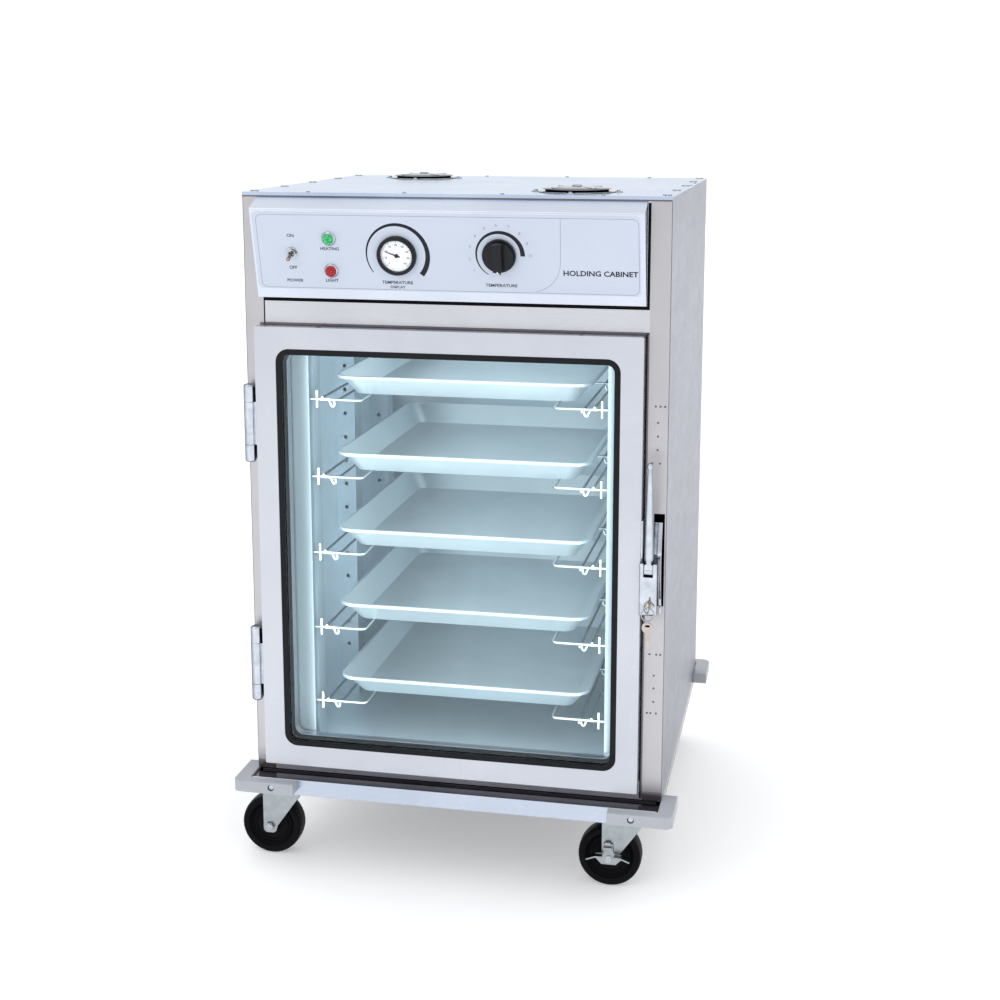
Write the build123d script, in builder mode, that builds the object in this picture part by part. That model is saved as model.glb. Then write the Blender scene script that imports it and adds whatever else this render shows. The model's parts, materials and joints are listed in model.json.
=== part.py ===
"""Heated food holding cabinet on casters: insulated body, glazed door, five pans on wire slides.

Millimetres, +Z up. X runs left to right, Y from the front to the back.
The origin is on the floor, under the middle of the body.
"""

from build123d import *
from math import cos, radians, sin
import os

os.makedirs("parts", exist_ok=True)

# ---------------------------------------------------------------- driving dimensions
WIDTH = 640.0  # body, across the side panels
DEPTH = 590.0  # body, front frame to back panel
HEIGHT = 906.0  # body, without the casters
BASE = 152.0  # underside of the body above the floor
SHEET = 1.2  # outer stainless sheet
COLUMN = 30.0  # width of the front columns
WHEEL_R = 49.0
PITCH = 120.5  # between pan levels
LEVELS = 5

FRONT = -DEPTH / 2
BACK = DEPTH / 2
HALF = WIDTH / 2
TOP = BASE + HEIGHT
ROOF_T = 1.5
SHELL_TOP = TOP - ROOF_T

# door, an overlay door whose skin stands in front of the columns
DOOR_X0, DOOR_X1 = -299.0, 285.0
DOOR_Z0, DOOR_Z1 = BASE + 18.0, BASE + 708.0
DOOR_T = 22.0
DOOR_GAP = 1.0
DOOR_BACK = FRONT - DOOR_GAP
DOOR_FACE = DOOR_BACK - DOOR_T
STILE = 33.0
WINDOW_R = 20.0
GASKET_W = 8.5

# chamber
LINER_X = 262.0
LINER_T = 1.0
MOUTH_X = 229.0
MOUTH_Z0, MOUTH_Z1 = BASE + 58.0, BASE + 680.0
MOUTH_Y = FRONT + 18.0
LINER_Z0, LINER_Z1 = BASE + 34.0, BASE + 700.0
LINER_BACK = BACK - 34.0

# wire slides and pans
FIRST_SLIDE = BASE + 110.0
WIRE_R = 2.0
SLIDE_FRONT = FRONT + 24.0
SLIDE_BACK = FRONT + 480.0
PAN_W, PAN_D, PAN_H = 400.0, 440.0, 31.0
PAN_FLOOR_W, PAN_FLOOR_D = 344.0, 384.0
PAN_T = 1.6
PAN_FRONT = FRONT + 44.0

# control panel: a box whose face leans back towards its lower edge
PANEL_X0, PANEL_X1 = -297.0, 285.0
PANEL_LOW = (FRONT - 5.0, BASE + 750.0)
PANEL_HIGH = (FRONT - 36.0, BASE + 884.0)
PANEL_EAVE = (FRONT - 2.0, BASE + 899.0)
PANEL_MID_YZ = [(low + high) / 2 for low, high in zip(PANEL_LOW, PANEL_HIGH)]
PANEL_MID = ((PANEL_X0 + PANEL_X1) / 2, *PANEL_MID_YZ)
PANEL_RISE = PANEL_HIGH[1] - PANEL_LOW[1]
PANEL_RUN = PANEL_LOW[0] - PANEL_HIGH[0]
PANEL_FACE = Plane(origin=PANEL_MID, x_dir=(1, 0, 0), z_dir=(0, -PANEL_RISE, -PANEL_RUN))
TOGGLE_AT = (-231.0, 2.0)
GREEN_AT = (-172.5, 24.6)
RED_AT = (-172.5, -24.6)
THERMO_AT = (-71.0, 1.0)
KNOB_AT = (81.0, 4.0)
OVERLAY_T = 0.5

# base and casters
TRAY_TOP = BASE - 4.0
TRAY_LOW = BASE - 25.0
RAIL_OUT = 38.0
BUMPER_OUT = 57.0
BUMPER_SIDE = 22.0
BUMPER_T = 25.0
CASTER_X, CASTER_Y = 273.0, DEPTH / 2 - 28.0
TRAIL = 33.0
WHEEL_T = 32.0
AXLE_R = 5.0
AXLE_CLEAR = 0.05

# roof vents, on a diagonal of the roof
VENTS = {"front": (168.0, -199.0), "rear": (-168.0, 199.0)}

# hinge and latch
HINGE_X, HINGE_Y = -311.0, FRONT - 18.0
HINGE_R = 8.5
HINGE_ZS = (BASE + 180.0, BASE + 560.0)
KNUCKLE = 66.0
HINGE_H = 120.0
PIN_R = 3.0
LATCH_X = 299.0
LATCH_PIVOT = (LATCH_X, FRONT - 39.0, BASE + 371.0)
LOCK_AT = (LATCH_X + 2.0, BASE + 322.0)
LATCH_FACE = FRONT - 47.0


def save(piece, name):
    """Label a finished piece and write its STEP file."""
    piece.label = name
    export_step(piece, f"parts/{name}.step")


def on_panel(at, lift=0.0):
    """A plane on the control panel's face, at face coordinates (right, up)."""
    origin = PANEL_FACE.from_local_coords((at[0], at[1], lift))
    return Plane(origin=origin, x_dir=(1, 0, 0), z_dir=PANEL_FACE.z_dir)


# ---------------------------------------------------------------- outer shell
def side_profile(side):
    """Sheet channel seen from above: side wall, front column with its return, rear flange."""
    with BuildSketch(Plane.XY.offset(BASE)) as profile:
        with Locations((side * (HALF - SHEET / 2), 0)):
            Rectangle(SHEET, DEPTH)
        with Locations((side * (HALF - COLUMN / 2), FRONT + SHEET / 2)):
            Rectangle(COLUMN, SHEET)
        with Locations((side * (HALF - COLUMN + SHEET / 2), FRONT + 9.0)):
            Rectangle(SHEET, 18.0)
        with Locations((side * (HALF - 9.0), BACK - SHEET / 2)):
            Rectangle(18.0, SHEET)
    return profile.sketch


STRIKE_Z0, STRIKE_Z1 = BASE + 306.0, BASE + 446.0
STRIKE_X0, STRIKE_X1 = 301.0, 317.0

with BuildPart() as left_side_panel:
    add(side_profile(-1))
    extrude(amount=SHELL_TOP - BASE)
    fillet(left_side_panel.edges().filter_by(Axis.Z).group_by(Axis.X)[0], SHEET * 0.9)
save(left_side_panel.part, "left_side_panel")

with BuildPart() as right_side_panel:
    add(side_profile(1))
    extrude(amount=SHELL_TOP - BASE)
    fillet(right_side_panel.edges().filter_by(Axis.Z).group_by(Axis.X)[-1], SHEET * 0.9)
    with Locations(((STRIKE_X0 + STRIKE_X1) / 2, FRONT, (STRIKE_Z0 + STRIKE_Z1) / 2)):
        Box(STRIKE_X1 - STRIKE_X0, 4 * SHEET, STRIKE_Z1 - STRIKE_Z0, mode=Mode.SUBTRACT)
save(right_side_panel.part, "right_side_panel")

with BuildPart() as strike_box:
    with Locations(((STRIKE_X0 + STRIKE_X1) / 2, FRONT + SHEET, (STRIKE_Z0 + STRIKE_Z1) / 2)):
        Box(17.4, 14.0, 150.0, align=(Align.CENTER, Align.MIN, Align.CENTER))
        Box(14.0, 12.0, 138.0, align=(Align.CENTER, Align.MIN, Align.CENTER), mode=Mode.SUBTRACT)
save(strike_box.part, "strike_box")

LOUVRE_Z = BASE + 790.0
GLAND_X, GLAND_Z = 210.0, BASE + 790.0
GLAND_HOLE_R = 10.0
with BuildPart() as back_panel:
    with Locations((0, BACK - SHEET * 1.5, BASE)):
        Box(WIDTH - 2 * SHEET, SHEET, SHELL_TOP - BASE, align=(Align.CENTER, Align.CENTER, Align.MIN))
    with BuildSketch(Plane.XZ.offset(-BACK + 4 * SHEET)):
        with Locations((0, LOUVRE_Z)):
            with GridLocations(1, 14, 1, 5):
                SlotOverall(220, 5)
        with Locations((GLAND_X, GLAND_Z)):
            Circle(GLAND_HOLE_R)
    extrude(amount=-8 * SHEET, mode=Mode.SUBTRACT)
save(back_panel.part, "back_panel")

OPENING_Z1 = BASE + 712.0
with BuildPart() as front_rails:
    rail_w = WIDTH - 2 * COLUMN
    with Locations((0, FRONT, OPENING_Z1)):
        Box(rail_w, SHEET, SHELL_TOP - OPENING_Z1, align=(Align.CENTER, Align.MIN, Align.MIN))
        Box(rail_w, 18.0, SHEET, align=(Align.CENTER, Align.MIN, Align.MIN))
    with Locations((0, FRONT, BASE)):
        Box(rail_w, SHEET, 30.0, align=(Align.CENTER, Align.MIN, Align.MIN))
    with Locations((0, FRONT, BASE + 30.0 - SHEET)):
        Box(rail_w, 18.0, SHEET, align=(Align.CENTER, Align.MIN, Align.MIN))
    with BuildSketch(Plane.XZ.offset(-FRONT + 4)):
        with Locations((PANEL_MID[0], BASE + 822.0)):
            Rectangle(520, 100)
    extrude(amount=-8, mode=Mode.SUBTRACT)
save(front_rails.part, "front_rails")

with BuildPart() as roof_cover:
    with Locations((0, 0, SHELL_TOP)):
        Box(WIDTH, DEPTH, ROOF_T, align=(Align.CENTER, Align.CENTER, Align.MIN))
    with Locations((0, FRONT, TOP)):
        Box(WIDTH, ROOF_T, 7.0, align=(Align.CENTER, Align.MAX, Align.MAX))
    with Locations(*[(x, y, TOP) for x, y in VENTS.values()]):
        Cylinder(46.0, 10.0, mode=Mode.SUBTRACT)
    with Locations((HALF - 4.0, 30.0, TOP), (HALF - 4.0, -FRONT * 0.35, TOP), (4.0 - HALF, 30.0, TOP)):
        Box(3.0, 26.0, 10.0, mode=Mode.SUBTRACT)
    with Locations((-HALF + 24.0, FRONT + 9.0, TOP)):
        Box(18.0, 2.6, 10.0, mode=Mode.SUBTRACT)
save(roof_cover.part, "roof_cover")

# ---------------------------------------------------------------- chamber
LINER_DEPTH = LINER_BACK - MOUTH_Y - LINER_T
LINER_HIGH = LINER_Z1 - LINER_Z0
MOUTH_HIGH = MOUTH_Z1 - MOUTH_Z0
DUCT_R = 20.0
with BuildPart() as inner_liner:
    with Locations((0, MOUTH_Y + LINER_T, LINER_Z0)):
        Box(2 * LINER_X, LINER_DEPTH, LINER_HIGH, align=(Align.CENTER, Align.MIN, Align.MIN))
    with Locations((0, MOUTH_Y, LINER_Z0 + LINER_T)):
        inner_w = 2 * (LINER_X - LINER_T)
        inner_h = LINER_HIGH - 2 * LINER_T
        Box(inner_w, LINER_DEPTH, inner_h, align=(Align.CENTER, Align.MIN, Align.MIN), mode=Mode.SUBTRACT)
    with Locations((0, MOUTH_Y, BASE + 30.0)):
        Box(2 * (HALF - COLUMN), LINER_T, OPENING_Z1 - BASE - 30.0, align=(Align.CENTER, Align.MIN, Align.MIN))
    with Locations((0, MOUTH_Y - 1, MOUTH_Z0)):
        Box(2 * MOUTH_X, 3, MOUTH_HIGH, align=(Align.CENTER, Align.MIN, Align.MIN), mode=Mode.SUBTRACT)
    with Locations(*[(x, y, LINER_Z1) for x, y in VENTS.values()]):
        Cylinder(DUCT_R - 1.0, 8.0, mode=Mode.SUBTRACT)
save(inner_liner.part, "inner_liner")

with BuildPart() as vent_ducts:
    with Locations(*[(x, y, LINER_Z1) for x, y in VENTS.values()]):
        Cylinder(DUCT_R, SHELL_TOP - LINER_Z1 - 8.0, align=(Align.CENTER, Align.CENTER, Align.MIN))
        Cylinder(DUCT_R - 1.0, HEIGHT, mode=Mode.SUBTRACT)
save(vent_ducts.part, "vent_ducts")

WOOL_T = 50.0
with BuildPart() as insulation:
    wool_depth = LINER_BACK - FRONT - 26.0
    for side in (-1, 1):
        with Locations((side * (LINER_X + 2.0), FRONT + 26.0, LINER_Z0)):
            wool_align = (Align.MIN if side > 0 else Align.MAX, Align.MIN, Align.MIN)
            Box(WOOL_T, wool_depth, LINER_HIGH, align=wool_align)
    with Locations((0, LINER_BACK + 1.0, LINER_Z0)):
        Box(2 * LINER_X, 28.0, LINER_HIGH, align=(Align.CENTER, Align.MIN, Align.MIN))
    with Locations((0, FRONT + 26.0, BASE + 3.0)):
        Box(2 * LINER_X, wool_depth, 21.0, align=(Align.CENTER, Align.MIN, Align.MIN))
save(insulation.part, "insulation")

UPRIGHT_X = MOUTH_X - 1.0
UPRIGHT_W = 36.0
UPRIGHT_T = 1.2
UPRIGHT_YS = (FRONT + 34.0, FRONT + 250.0, FRONT + 450.0)
UPRIGHT_Z0 = LINER_Z0 + LINER_T
UPRIGHT_H = LINER_HIGH - 2 * LINER_T
with BuildPart() as slide_uprights:
    reach = LINER_X - LINER_T - UPRIGHT_X
    for side in (-1, 1):
        inward = (Align.MIN if side > 0 else Align.MAX, Align.MIN, Align.MIN)
        for y in UPRIGHT_YS:
            with Locations((side * UPRIGHT_X, y, UPRIGHT_Z0)):
                Box(reach, UPRIGHT_W, UPRIGHT_H, align=inward)
            with Locations((side * (UPRIGHT_X + UPRIGHT_T), y + UPRIGHT_T, UPRIGHT_Z0 - 1)):
                Box(reach, UPRIGHT_W - 2 * UPRIGHT_T, UPRIGHT_H + 2, align=inward, mode=Mode.SUBTRACT)
            with BuildSketch(Plane.XZ.offset(-y + 1)):
                with Locations((side * (UPRIGHT_X + reach / 2), BASE + 366.0)):
                    with GridLocations(1, PITCH / 3, 1, 15):
                        Circle(3.2)
            extrude(amount=-4, mode=Mode.SUBTRACT)
save(slide_uprights.part, "slide_uprights")

SLIDE_IN, SLIDE_OUT = 147.0, UPRIGHT_X
GUIDE_X, KEEPER_X, HOOK_X = 209.0, 190.0, 219.0
HOOK_DROP = 13.0


def wire(points, radius=0.0):
    """Sweep the wire's round section along straight runs joined by bends."""
    with BuildPart() as run:
        with BuildLine():
            path = FilletPolyline(*points, radius=radius) if radius else Line(*points)
        with BuildSketch(Plane(origin=path @ 0, z_dir=path % 0)):
            Circle(WIRE_R)
        sweep(path=path)
    return run.part


def slide_wires(side, z):
    """One chrome ledge: a U of wire, its guide, keeper and middle bar, and six hooks."""
    y_mid = (SLIDE_FRONT + SLIDE_BACK) / 2
    out, lap = side * SLIDE_OUT, WIRE_R * 1.6
    ledge = [(out, SLIDE_FRONT, z), (side * SLIDE_IN, SLIDE_FRONT, z)]
    ledge += [(side * SLIDE_IN, SLIDE_BACK, z), (out, SLIDE_BACK, z)]
    wires = [wire(ledge, 9.0)]
    wires.append(wire([(side * SLIDE_IN, y_mid, z), (out, y_mid, z)]))
    for x, rise in ((GUIDE_X, lap), (KEEPER_X, -lap)):
        wires.append(wire([(side * x, SLIDE_FRONT - 3, z + rise), (side * x, SLIDE_BACK + 8, z + rise)]))
    for y in (SLIDE_FRONT, y_mid, SLIDE_BACK):
        wires.append(wire([(side * HOOK_X, y + lap, z - HOOK_DROP), (side * HOOK_X, y + lap, z + HOOK_DROP)]))
    for y in (SLIDE_FRONT, y_mid, SLIDE_BACK):
        dip = (side * (KEEPER_X + 4), y + 2 * lap, z - 17.0)
        wires.append(wire([(side * (KEEPER_X + 12), y + 2 * lap, z + 1), dip, (side * KEEPER_X, y + 2 * lap, z + 1)], 2.5))
    return wires


def slide_set(side):
    """The five ledges of one side of the chamber."""
    ledges = []
    for level in range(LEVELS):
        with BuildPart() as ledge:
            for run in slide_wires(side, FIRST_SLIDE + level * PITCH):
                add(run)
        ledges.append(ledge.part)
    return ledges


for side, label in ((-1, "left_wire_slides"), (1, "right_wire_slides")):
    save(Compound(children=slide_set(side)), label)

PAN_RISE = WIRE_R + 0.2
PAN_NAMES = [f"pan_{level + 1}" for level in range(LEVELS)]
for level, name in enumerate(PAN_NAMES):
    pan_z = FIRST_SLIDE + level * PITCH + PAN_RISE
    pan_y = PAN_FRONT + PAN_D / 2
    bead = 3.0
    with BuildPart() as pan:
        with BuildSketch(Plane.XY.offset(pan_z)):
            with Locations((0, pan_y)):
                RectangleRounded(PAN_FLOOR_W, PAN_FLOOR_D, 16)
        with BuildSketch(Plane.XY.offset(pan_z + PAN_H)):
            with Locations((0, pan_y)):
                RectangleRounded(PAN_W - 2 * bead, PAN_D - 2 * bead, 26)
        loft()
        with BuildSketch(Plane.XY.offset(pan_z + PAN_T)):
            with Locations((0, pan_y)):
                RectangleRounded(PAN_FLOOR_W - 3, PAN_FLOOR_D - 3, 14.5)
        with BuildSketch(Plane.XY.offset(pan_z + PAN_H)):
            with Locations((0, pan_y)):
                RectangleRounded(PAN_W - 2 * bead - 3, PAN_D - 2 * bead - 3, 24.5)
        loft(mode=Mode.SUBTRACT)
        with BuildSketch(Plane.XY.offset(pan_z + PAN_H - 4)):
            with Locations((0, pan_y)):
                RectangleRounded(PAN_W, PAN_D, 29)
                RectangleRounded(PAN_W - 2 * bead - 3, PAN_D - 2 * bead - 3, 24.5, mode=Mode.SUBTRACT)
        extrude(amount=4.6)
        fillet(pan.faces().sort_by(Axis.Z)[-1].outer_wire().edges(), 1.4)
    save(pan.part, name)

# ---------------------------------------------------------------- heating, under the chamber floor, and the head
with BuildPart() as heating_element:
    heat_z = LINER_Z0 - 4.2
    heater_path = [(-150, 120, heat_z), (150, 120, heat_z), (150, -120, heat_z), (-150, -120, heat_z)]
    with BuildLine():
        rod = FilletPolyline(*heater_path, radius=30)
    with BuildSketch(Plane(origin=rod @ 0, z_dir=rod % 0)):
        Circle(4.0)
    sweep(path=rod)
    with Locations((-150, 120, LINER_Z0), (-150, -120, LINER_Z0)):
        Box(14, 20, 8.4, align=(Align.CENTER, Align.CENTER, Align.MAX))
save(heating_element.part, "heating_element")

with BuildPart() as power_entry:
    with Locations((150, BACK - 60, BASE + 722)):
        Box(90, 60, 46, align=(Align.CENTER, Align.CENTER, Align.MIN))
    chamfer(power_entry.edges().group_by(Axis.Z)[-1], 3)
    with BuildSketch(Plane.XZ.offset(-BACK)):
        with Locations((GLAND_X, GLAND_Z)):
            RegularPolygon(13, 6)
    extrude(amount=-6)
    with BuildSketch(Plane.XZ.offset(-BACK + 8)):
        with Locations((GLAND_X, GLAND_Z)):
            Circle(GLAND_HOLE_R - 0.2)
    extrude(amount=-26)
    with BuildSketch(Plane.XZ.offset(-BACK + 8)):
        with Locations((GLAND_X, GLAND_Z)):
            Circle(5.5)
    extrude(amount=-26, mode=Mode.SUBTRACT)
save(power_entry.part, "power_entry")

# ---------------------------------------------------------------- control panel
PANEL_T = 1.5
THERMO_R = 26.0
with BuildPart() as control_panel:
    with BuildSketch(Plane.YZ.offset(PANEL_X0)):
        with BuildLine():
            Polyline((FRONT, PANEL_LOW[1]), PANEL_LOW, PANEL_HIGH, PANEL_EAVE, (FRONT, PANEL_EAVE[1]), close=True)
        make_face()
    extrude(amount=PANEL_X1 - PANEL_X0)
    face_front = control_panel.edges().filter_by(Axis.X).group_by(Axis.Y)[0]
    fillet(face_front, 3)
    with BuildSketch(Plane.YZ.offset(PANEL_X0 + PANEL_T)):
        with BuildLine():
            Polyline(
                (FRONT + 1, PANEL_LOW[1] + PANEL_T),
                (PANEL_LOW[0] + PANEL_T, PANEL_LOW[1] + PANEL_T),
                (PANEL_HIGH[0] + 1.8, PANEL_HIGH[1] - 0.6),
                (PANEL_EAVE[0], PANEL_EAVE[1] - 1.8),
                (FRONT + 1, PANEL_EAVE[1] - 1.8),
                close=True,
            )
        make_face()
    extrude(amount=PANEL_X1 - PANEL_X0 - 2 * PANEL_T, mode=Mode.SUBTRACT)
    with BuildSketch(PANEL_FACE.offset(-12)):
        with Locations(THERMO_AT):
            Circle(THERMO_R)
        with Locations(TOGGLE_AT, KNOB_AT):
            Circle(6.0)
        with Locations(GREEN_AT, RED_AT):
            Circle(7.0)
    extrude(amount=20, mode=Mode.SUBTRACT)
save(control_panel.part, "control_panel")

with BuildPart() as control_overlay:
    with BuildSketch(PANEL_FACE):
        with Locations((-2, 5)):
            RectangleRounded(572, 118, 7)
        with Locations(THERMO_AT):
            Circle(THERMO_R, mode=Mode.SUBTRACT)
        with Locations(TOGGLE_AT, KNOB_AT):
            Circle(6.0, mode=Mode.SUBTRACT)
        with Locations(GREEN_AT, RED_AT):
            Circle(7.0, mode=Mode.SUBTRACT)
    extrude(amount=OVERLAY_T)
save(control_overlay.part, "control_overlay")

with BuildPart() as control_bezels:
    with BuildSketch(on_panel(TOGGLE_AT, OVERLAY_T)):
        RegularPolygon(8.0, 6)
    extrude(amount=2.5)
    with BuildSketch(on_panel(TOGGLE_AT, -11.0)):
        Circle(5.9)
    extrude(amount=16.0)
    with BuildSketch(on_panel(TOGGLE_AT, -12.0)):
        Circle(3.6)
    extrude(amount=24.0, mode=Mode.SUBTRACT)
    with Locations(on_panel(TOGGLE_AT, -20.0)):
        Box(20, 26, 18)
    for at in (GREEN_AT, RED_AT):
        with BuildSketch(on_panel(at, OVERLAY_T)):
            Circle(9.5)
            Circle(7.2, mode=Mode.SUBTRACT)
        extrude(amount=3.0)
save(control_bezels.part, "control_bezels")

for at, name in ((GREEN_AT, "heating_lamp_lens"), (RED_AT, "light_lamp_lens")):
    with BuildPart() as lens:
        with BuildSketch(on_panel(at, -12.0)):
            Circle(6.9)
        extrude(amount=17.5)
        fillet(lens.edges().filter_by(GeomType.CIRCLE).sort_by(Axis.Y)[0], 1.6)
    save(lens.part, name)

with BuildPart() as thermometer_case:
    with BuildSketch(on_panel(THERMO_AT, OVERLAY_T)):
        Circle(29.5)
    extrude(amount=7.0)
    with BuildSketch(on_panel(THERMO_AT, -14.0)):
        Circle(THERMO_R - 0.5)
    extrude(amount=16.0)
    fillet(thermometer_case.edges().filter_by(GeomType.CIRCLE).sort_by(Axis.Y)[0], 2.0)
    with BuildSketch(on_panel(THERMO_AT, 2.5)):
        Circle(24.0)
    extrude(amount=12.0, mode=Mode.SUBTRACT)
save(thermometer_case.part, "thermometer_case")

with BuildPart() as thermometer_dial:
    with BuildSketch(on_panel(THERMO_AT, 2.5)):
        Circle(23.7)
    extrude(amount=0.8)
    with BuildSketch(on_panel(THERMO_AT, 3.3)):
        Circle(1.0)
    extrude(amount=1.7)
save(thermometer_dial.part, "thermometer_dial")

NEEDLE_ANGLE = 160.0
with BuildPart() as thermometer_needle:
    with BuildSketch(on_panel(THERMO_AT, 3.9)):
        Circle(3.0)
        tip = (19 * cos(radians(NEEDLE_ANGLE)), 19 * sin(radians(NEEDLE_ANGLE)))
        with BuildLine():
            Polyline((-tip[0] * 0.25, -tip[1] * 0.25 + 0.7), tip, (-tip[0] * 0.25, -tip[1] * 0.25 - 0.7), close=True)
        make_face()
        Circle(1.0 + AXLE_CLEAR, mode=Mode.SUBTRACT)
    extrude(amount=0.8)
save(thermometer_needle.part, "thermometer_needle")

with BuildPart() as thermometer_glass:
    with BuildSketch(on_panel(THERMO_AT, 5.4)):
        Circle(23.8)
    extrude(amount=1.5)
save(thermometer_glass.part, "thermometer_glass")

SHAFT_R = 3.0
with BuildPart() as thermostat:
    with Locations(on_panel(KNOB_AT, -24.0)):
        Box(42, 38, 34)
    with BuildSketch(on_panel(KNOB_AT, -8.0)):
        Circle(5.6)
    extrude(amount=8.0)
    with BuildSketch(on_panel(KNOB_AT, 0)):
        Circle(SHAFT_R)
    extrude(amount=14.0)
save(thermostat.part, "thermostat")

KNOB_R, KNOB_H = 24.5, 20.0
with BuildPart() as thermostat_knob:
    with BuildSketch(on_panel(KNOB_AT, 1.5)):
        Circle(KNOB_R)
    extrude(amount=5.0)
    with BuildSketch(on_panel(KNOB_AT, 6.5)):
        Circle(KNOB_R - 2.5)
    extrude(amount=KNOB_H - 6.0, taper=4)
    fillet(thermostat_knob.edges().filter_by(GeomType.CIRCLE).sort_by(Axis.Y)[0], 1.5)
    with BuildSketch(on_panel(KNOB_AT, 10.0)):
        with Locations((-17.5, 0), (17.5, 0)):
            Rectangle(22, 60)
    extrude(amount=KNOB_H, mode=Mode.SUBTRACT)
    with BuildSketch(on_panel(KNOB_AT, 1.0)):
        Circle(SHAFT_R + AXLE_CLEAR)
    extrude(amount=13.5, mode=Mode.SUBTRACT)
save(thermostat_knob.part, "thermostat_knob")

# the toggle's bat hangs down in its off position
TOGGLE_OFF = 14.0
with BuildPart() as toggle_lever:
    pivot = on_panel(TOGGLE_AT, 3.0)
    bat = pivot.rotated((TOGGLE_OFF, 0, 0))
    with BuildSketch(bat):
        Circle(1.9)
    with BuildSketch(bat.offset(17.0)):
        Circle(3.0)
    loft()
    with Locations(bat.offset(17.0)):
        Sphere(3.0)
    with Locations(pivot):
        Sphere(2.6)
save(toggle_lever.part, "toggle_lever")

# ---------------------------------------------------------------- roof vents
VENT_R = 68.0
DISC_R = 50.0
POST_R = 4.0
with BuildPart() as vent_bases:
    for x, y in VENTS.values():
        with BuildSketch(Plane.XY.offset(TOP)):
            with Locations((x, y)):
                Circle(VENT_R - 9.0)
                with PolarLocations(VENT_R - 6.0, 4):
                    Circle(6.0)
                with PolarLocations(30, 4, 22.5):
                    SlotOverall(26, 15, rotation=90, mode=Mode.SUBTRACT)
        extrude(amount=1.6)
        with BuildSketch(Plane.XY.offset(TOP + 1.6)):
            with Locations((x, y)):
                Circle(POST_R)
        extrude(amount=6.0)
        with Locations((x, y, TOP + 1.6)):
            with PolarLocations(VENT_R - 5.0, 4):
                Cylinder(3.0, 1.6, align=(Align.CENTER, Align.CENTER, Align.MIN))
save(vent_bases.part, "vent_bases")

for name, (x, y) in VENTS.items():
    with BuildPart() as vent_disc:
        with BuildSketch(Plane.XZ.offset(-y)):
            with BuildLine():
                Polyline((x + POST_R + 0.05, TOP + 4.0), (x + DISC_R - 8, TOP + 2.6), (x + DISC_R, TOP + 2.2))
                Polyline((x + DISC_R, TOP + 2.2), (x + DISC_R, TOP + 3.6), (x + DISC_R - 8, TOP + 5.2))
                Line((x + DISC_R - 8, TOP + 5.2), (x + 14, TOP + 7.4))
                Polyline((x + 14, TOP + 7.4), (x + POST_R + 0.05, TOP + 7.6), (x + POST_R + 0.05, TOP + 4.0))
            make_face()
        revolve(axis=Axis((x, y, 0), (0, 0, 1)))
        with BuildSketch(Plane.XY.offset(TOP)):
            with Locations((x, y)):
                with PolarLocations(30, 4, 67.5):
                    SlotOverall(22, 11, rotation=90)
        extrude(amount=20, mode=Mode.SUBTRACT)
        with Locations((x, y, TOP + 6.6)):
            Cylinder(7.0, 4.0, align=(Align.CENTER, Align.CENTER, Align.MIN))
        fillet(vent_disc.edges().group_by(Axis.Z)[-1], 1.5)
        with Locations((x, y, TOP)):
            Cylinder(POST_R + 0.05, 7.9, align=(Align.CENTER, Align.CENTER, Align.MIN), mode=Mode.SUBTRACT)
    save(vent_disc.part, f"{name}_vent_damper")

# ---------------------------------------------------------------- door
DOOR_W = DOOR_X1 - DOOR_X0
DOOR_H = DOOR_Z1 - DOOR_Z0
DOOR_MID = ((DOOR_X0 + DOOR_X1) / 2, (DOOR_Z0 + DOOR_Z1) / 2)
WINDOW_W, WINDOW_H = DOOR_W - 2 * STILE, DOOR_H - 2 * STILE
SKIN = 1.2


def door_ring(y, outer, inner, deep, mode=Mode.ADD, outer_mid=DOOR_MID):
    """Extrude a frame between two rounded rectangles (width, height, radius) back from y."""
    with BuildSketch(Plane.XZ.offset(-y)) as ring:
        with Locations(outer_mid):
            RectangleRounded(*outer)
        if inner:
            with Locations(DOOR_MID):
                RectangleRounded(*inner, mode=Mode.SUBTRACT)
    extrude(ring.sketch, amount=-deep, mode=mode)


window = (WINDOW_W, WINDOW_H, WINDOW_R)
with BuildPart() as door_frame:
    door_ring(DOOR_FACE, (DOOR_W, DOOR_H, 2.5), window, SKIN)
    door_ring(DOOR_FACE, (DOOR_W, DOOR_H, 2.5), (DOOR_W - 2 * SKIN, DOOR_H - 2 * SKIN, 1.3), DOOR_T)
    wall = (WINDOW_W + 2 * SKIN, WINDOW_H + 2 * SKIN, WINDOW_R + SKIN)
    door_ring(DOOR_FACE, wall, window, DOOR_T)
    door_ring(DOOR_BACK - SKIN, (DOOR_W, DOOR_H, 2.5), (DOOR_W - 48, DOOR_H - 48, 2), SKIN)
save(door_frame.part, "door_frame")

INNER_FRAME_T = 15.0
INNER_FRAME_MID = (-1.0, BASE + 370.0)
INNER_FRAME_W, INNER_FRAME_H = 562.0, 672.0
OPENING_W, OPENING_H = DOOR_W - 86.0, DOOR_H - 86.0
with BuildPart() as door_inner_frame:
    plate = (INNER_FRAME_W, INNER_FRAME_H, 6.0)
    opening = (OPENING_W, OPENING_H, 14.0)
    door_ring(DOOR_BACK, plate, opening, INNER_FRAME_T, outer_mid=INNER_FRAME_MID)
    with BuildSketch(Plane.XZ.offset(-DOOR_BACK - SKIN)) as hollow:
        with Locations(INNER_FRAME_MID):
            RectangleRounded(INNER_FRAME_W - 2 * SKIN, INNER_FRAME_H - 2 * SKIN, 5.0)
        with Locations(DOOR_MID):
            RectangleRounded(OPENING_W + 2 * SKIN, OPENING_H + 2 * SKIN, 14.0 + SKIN, mode=Mode.SUBTRACT)
    extrude(hollow.sketch, amount=-INNER_FRAME_T, mode=Mode.SUBTRACT)
save(door_inner_frame.part, "door_inner_frame")

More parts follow.
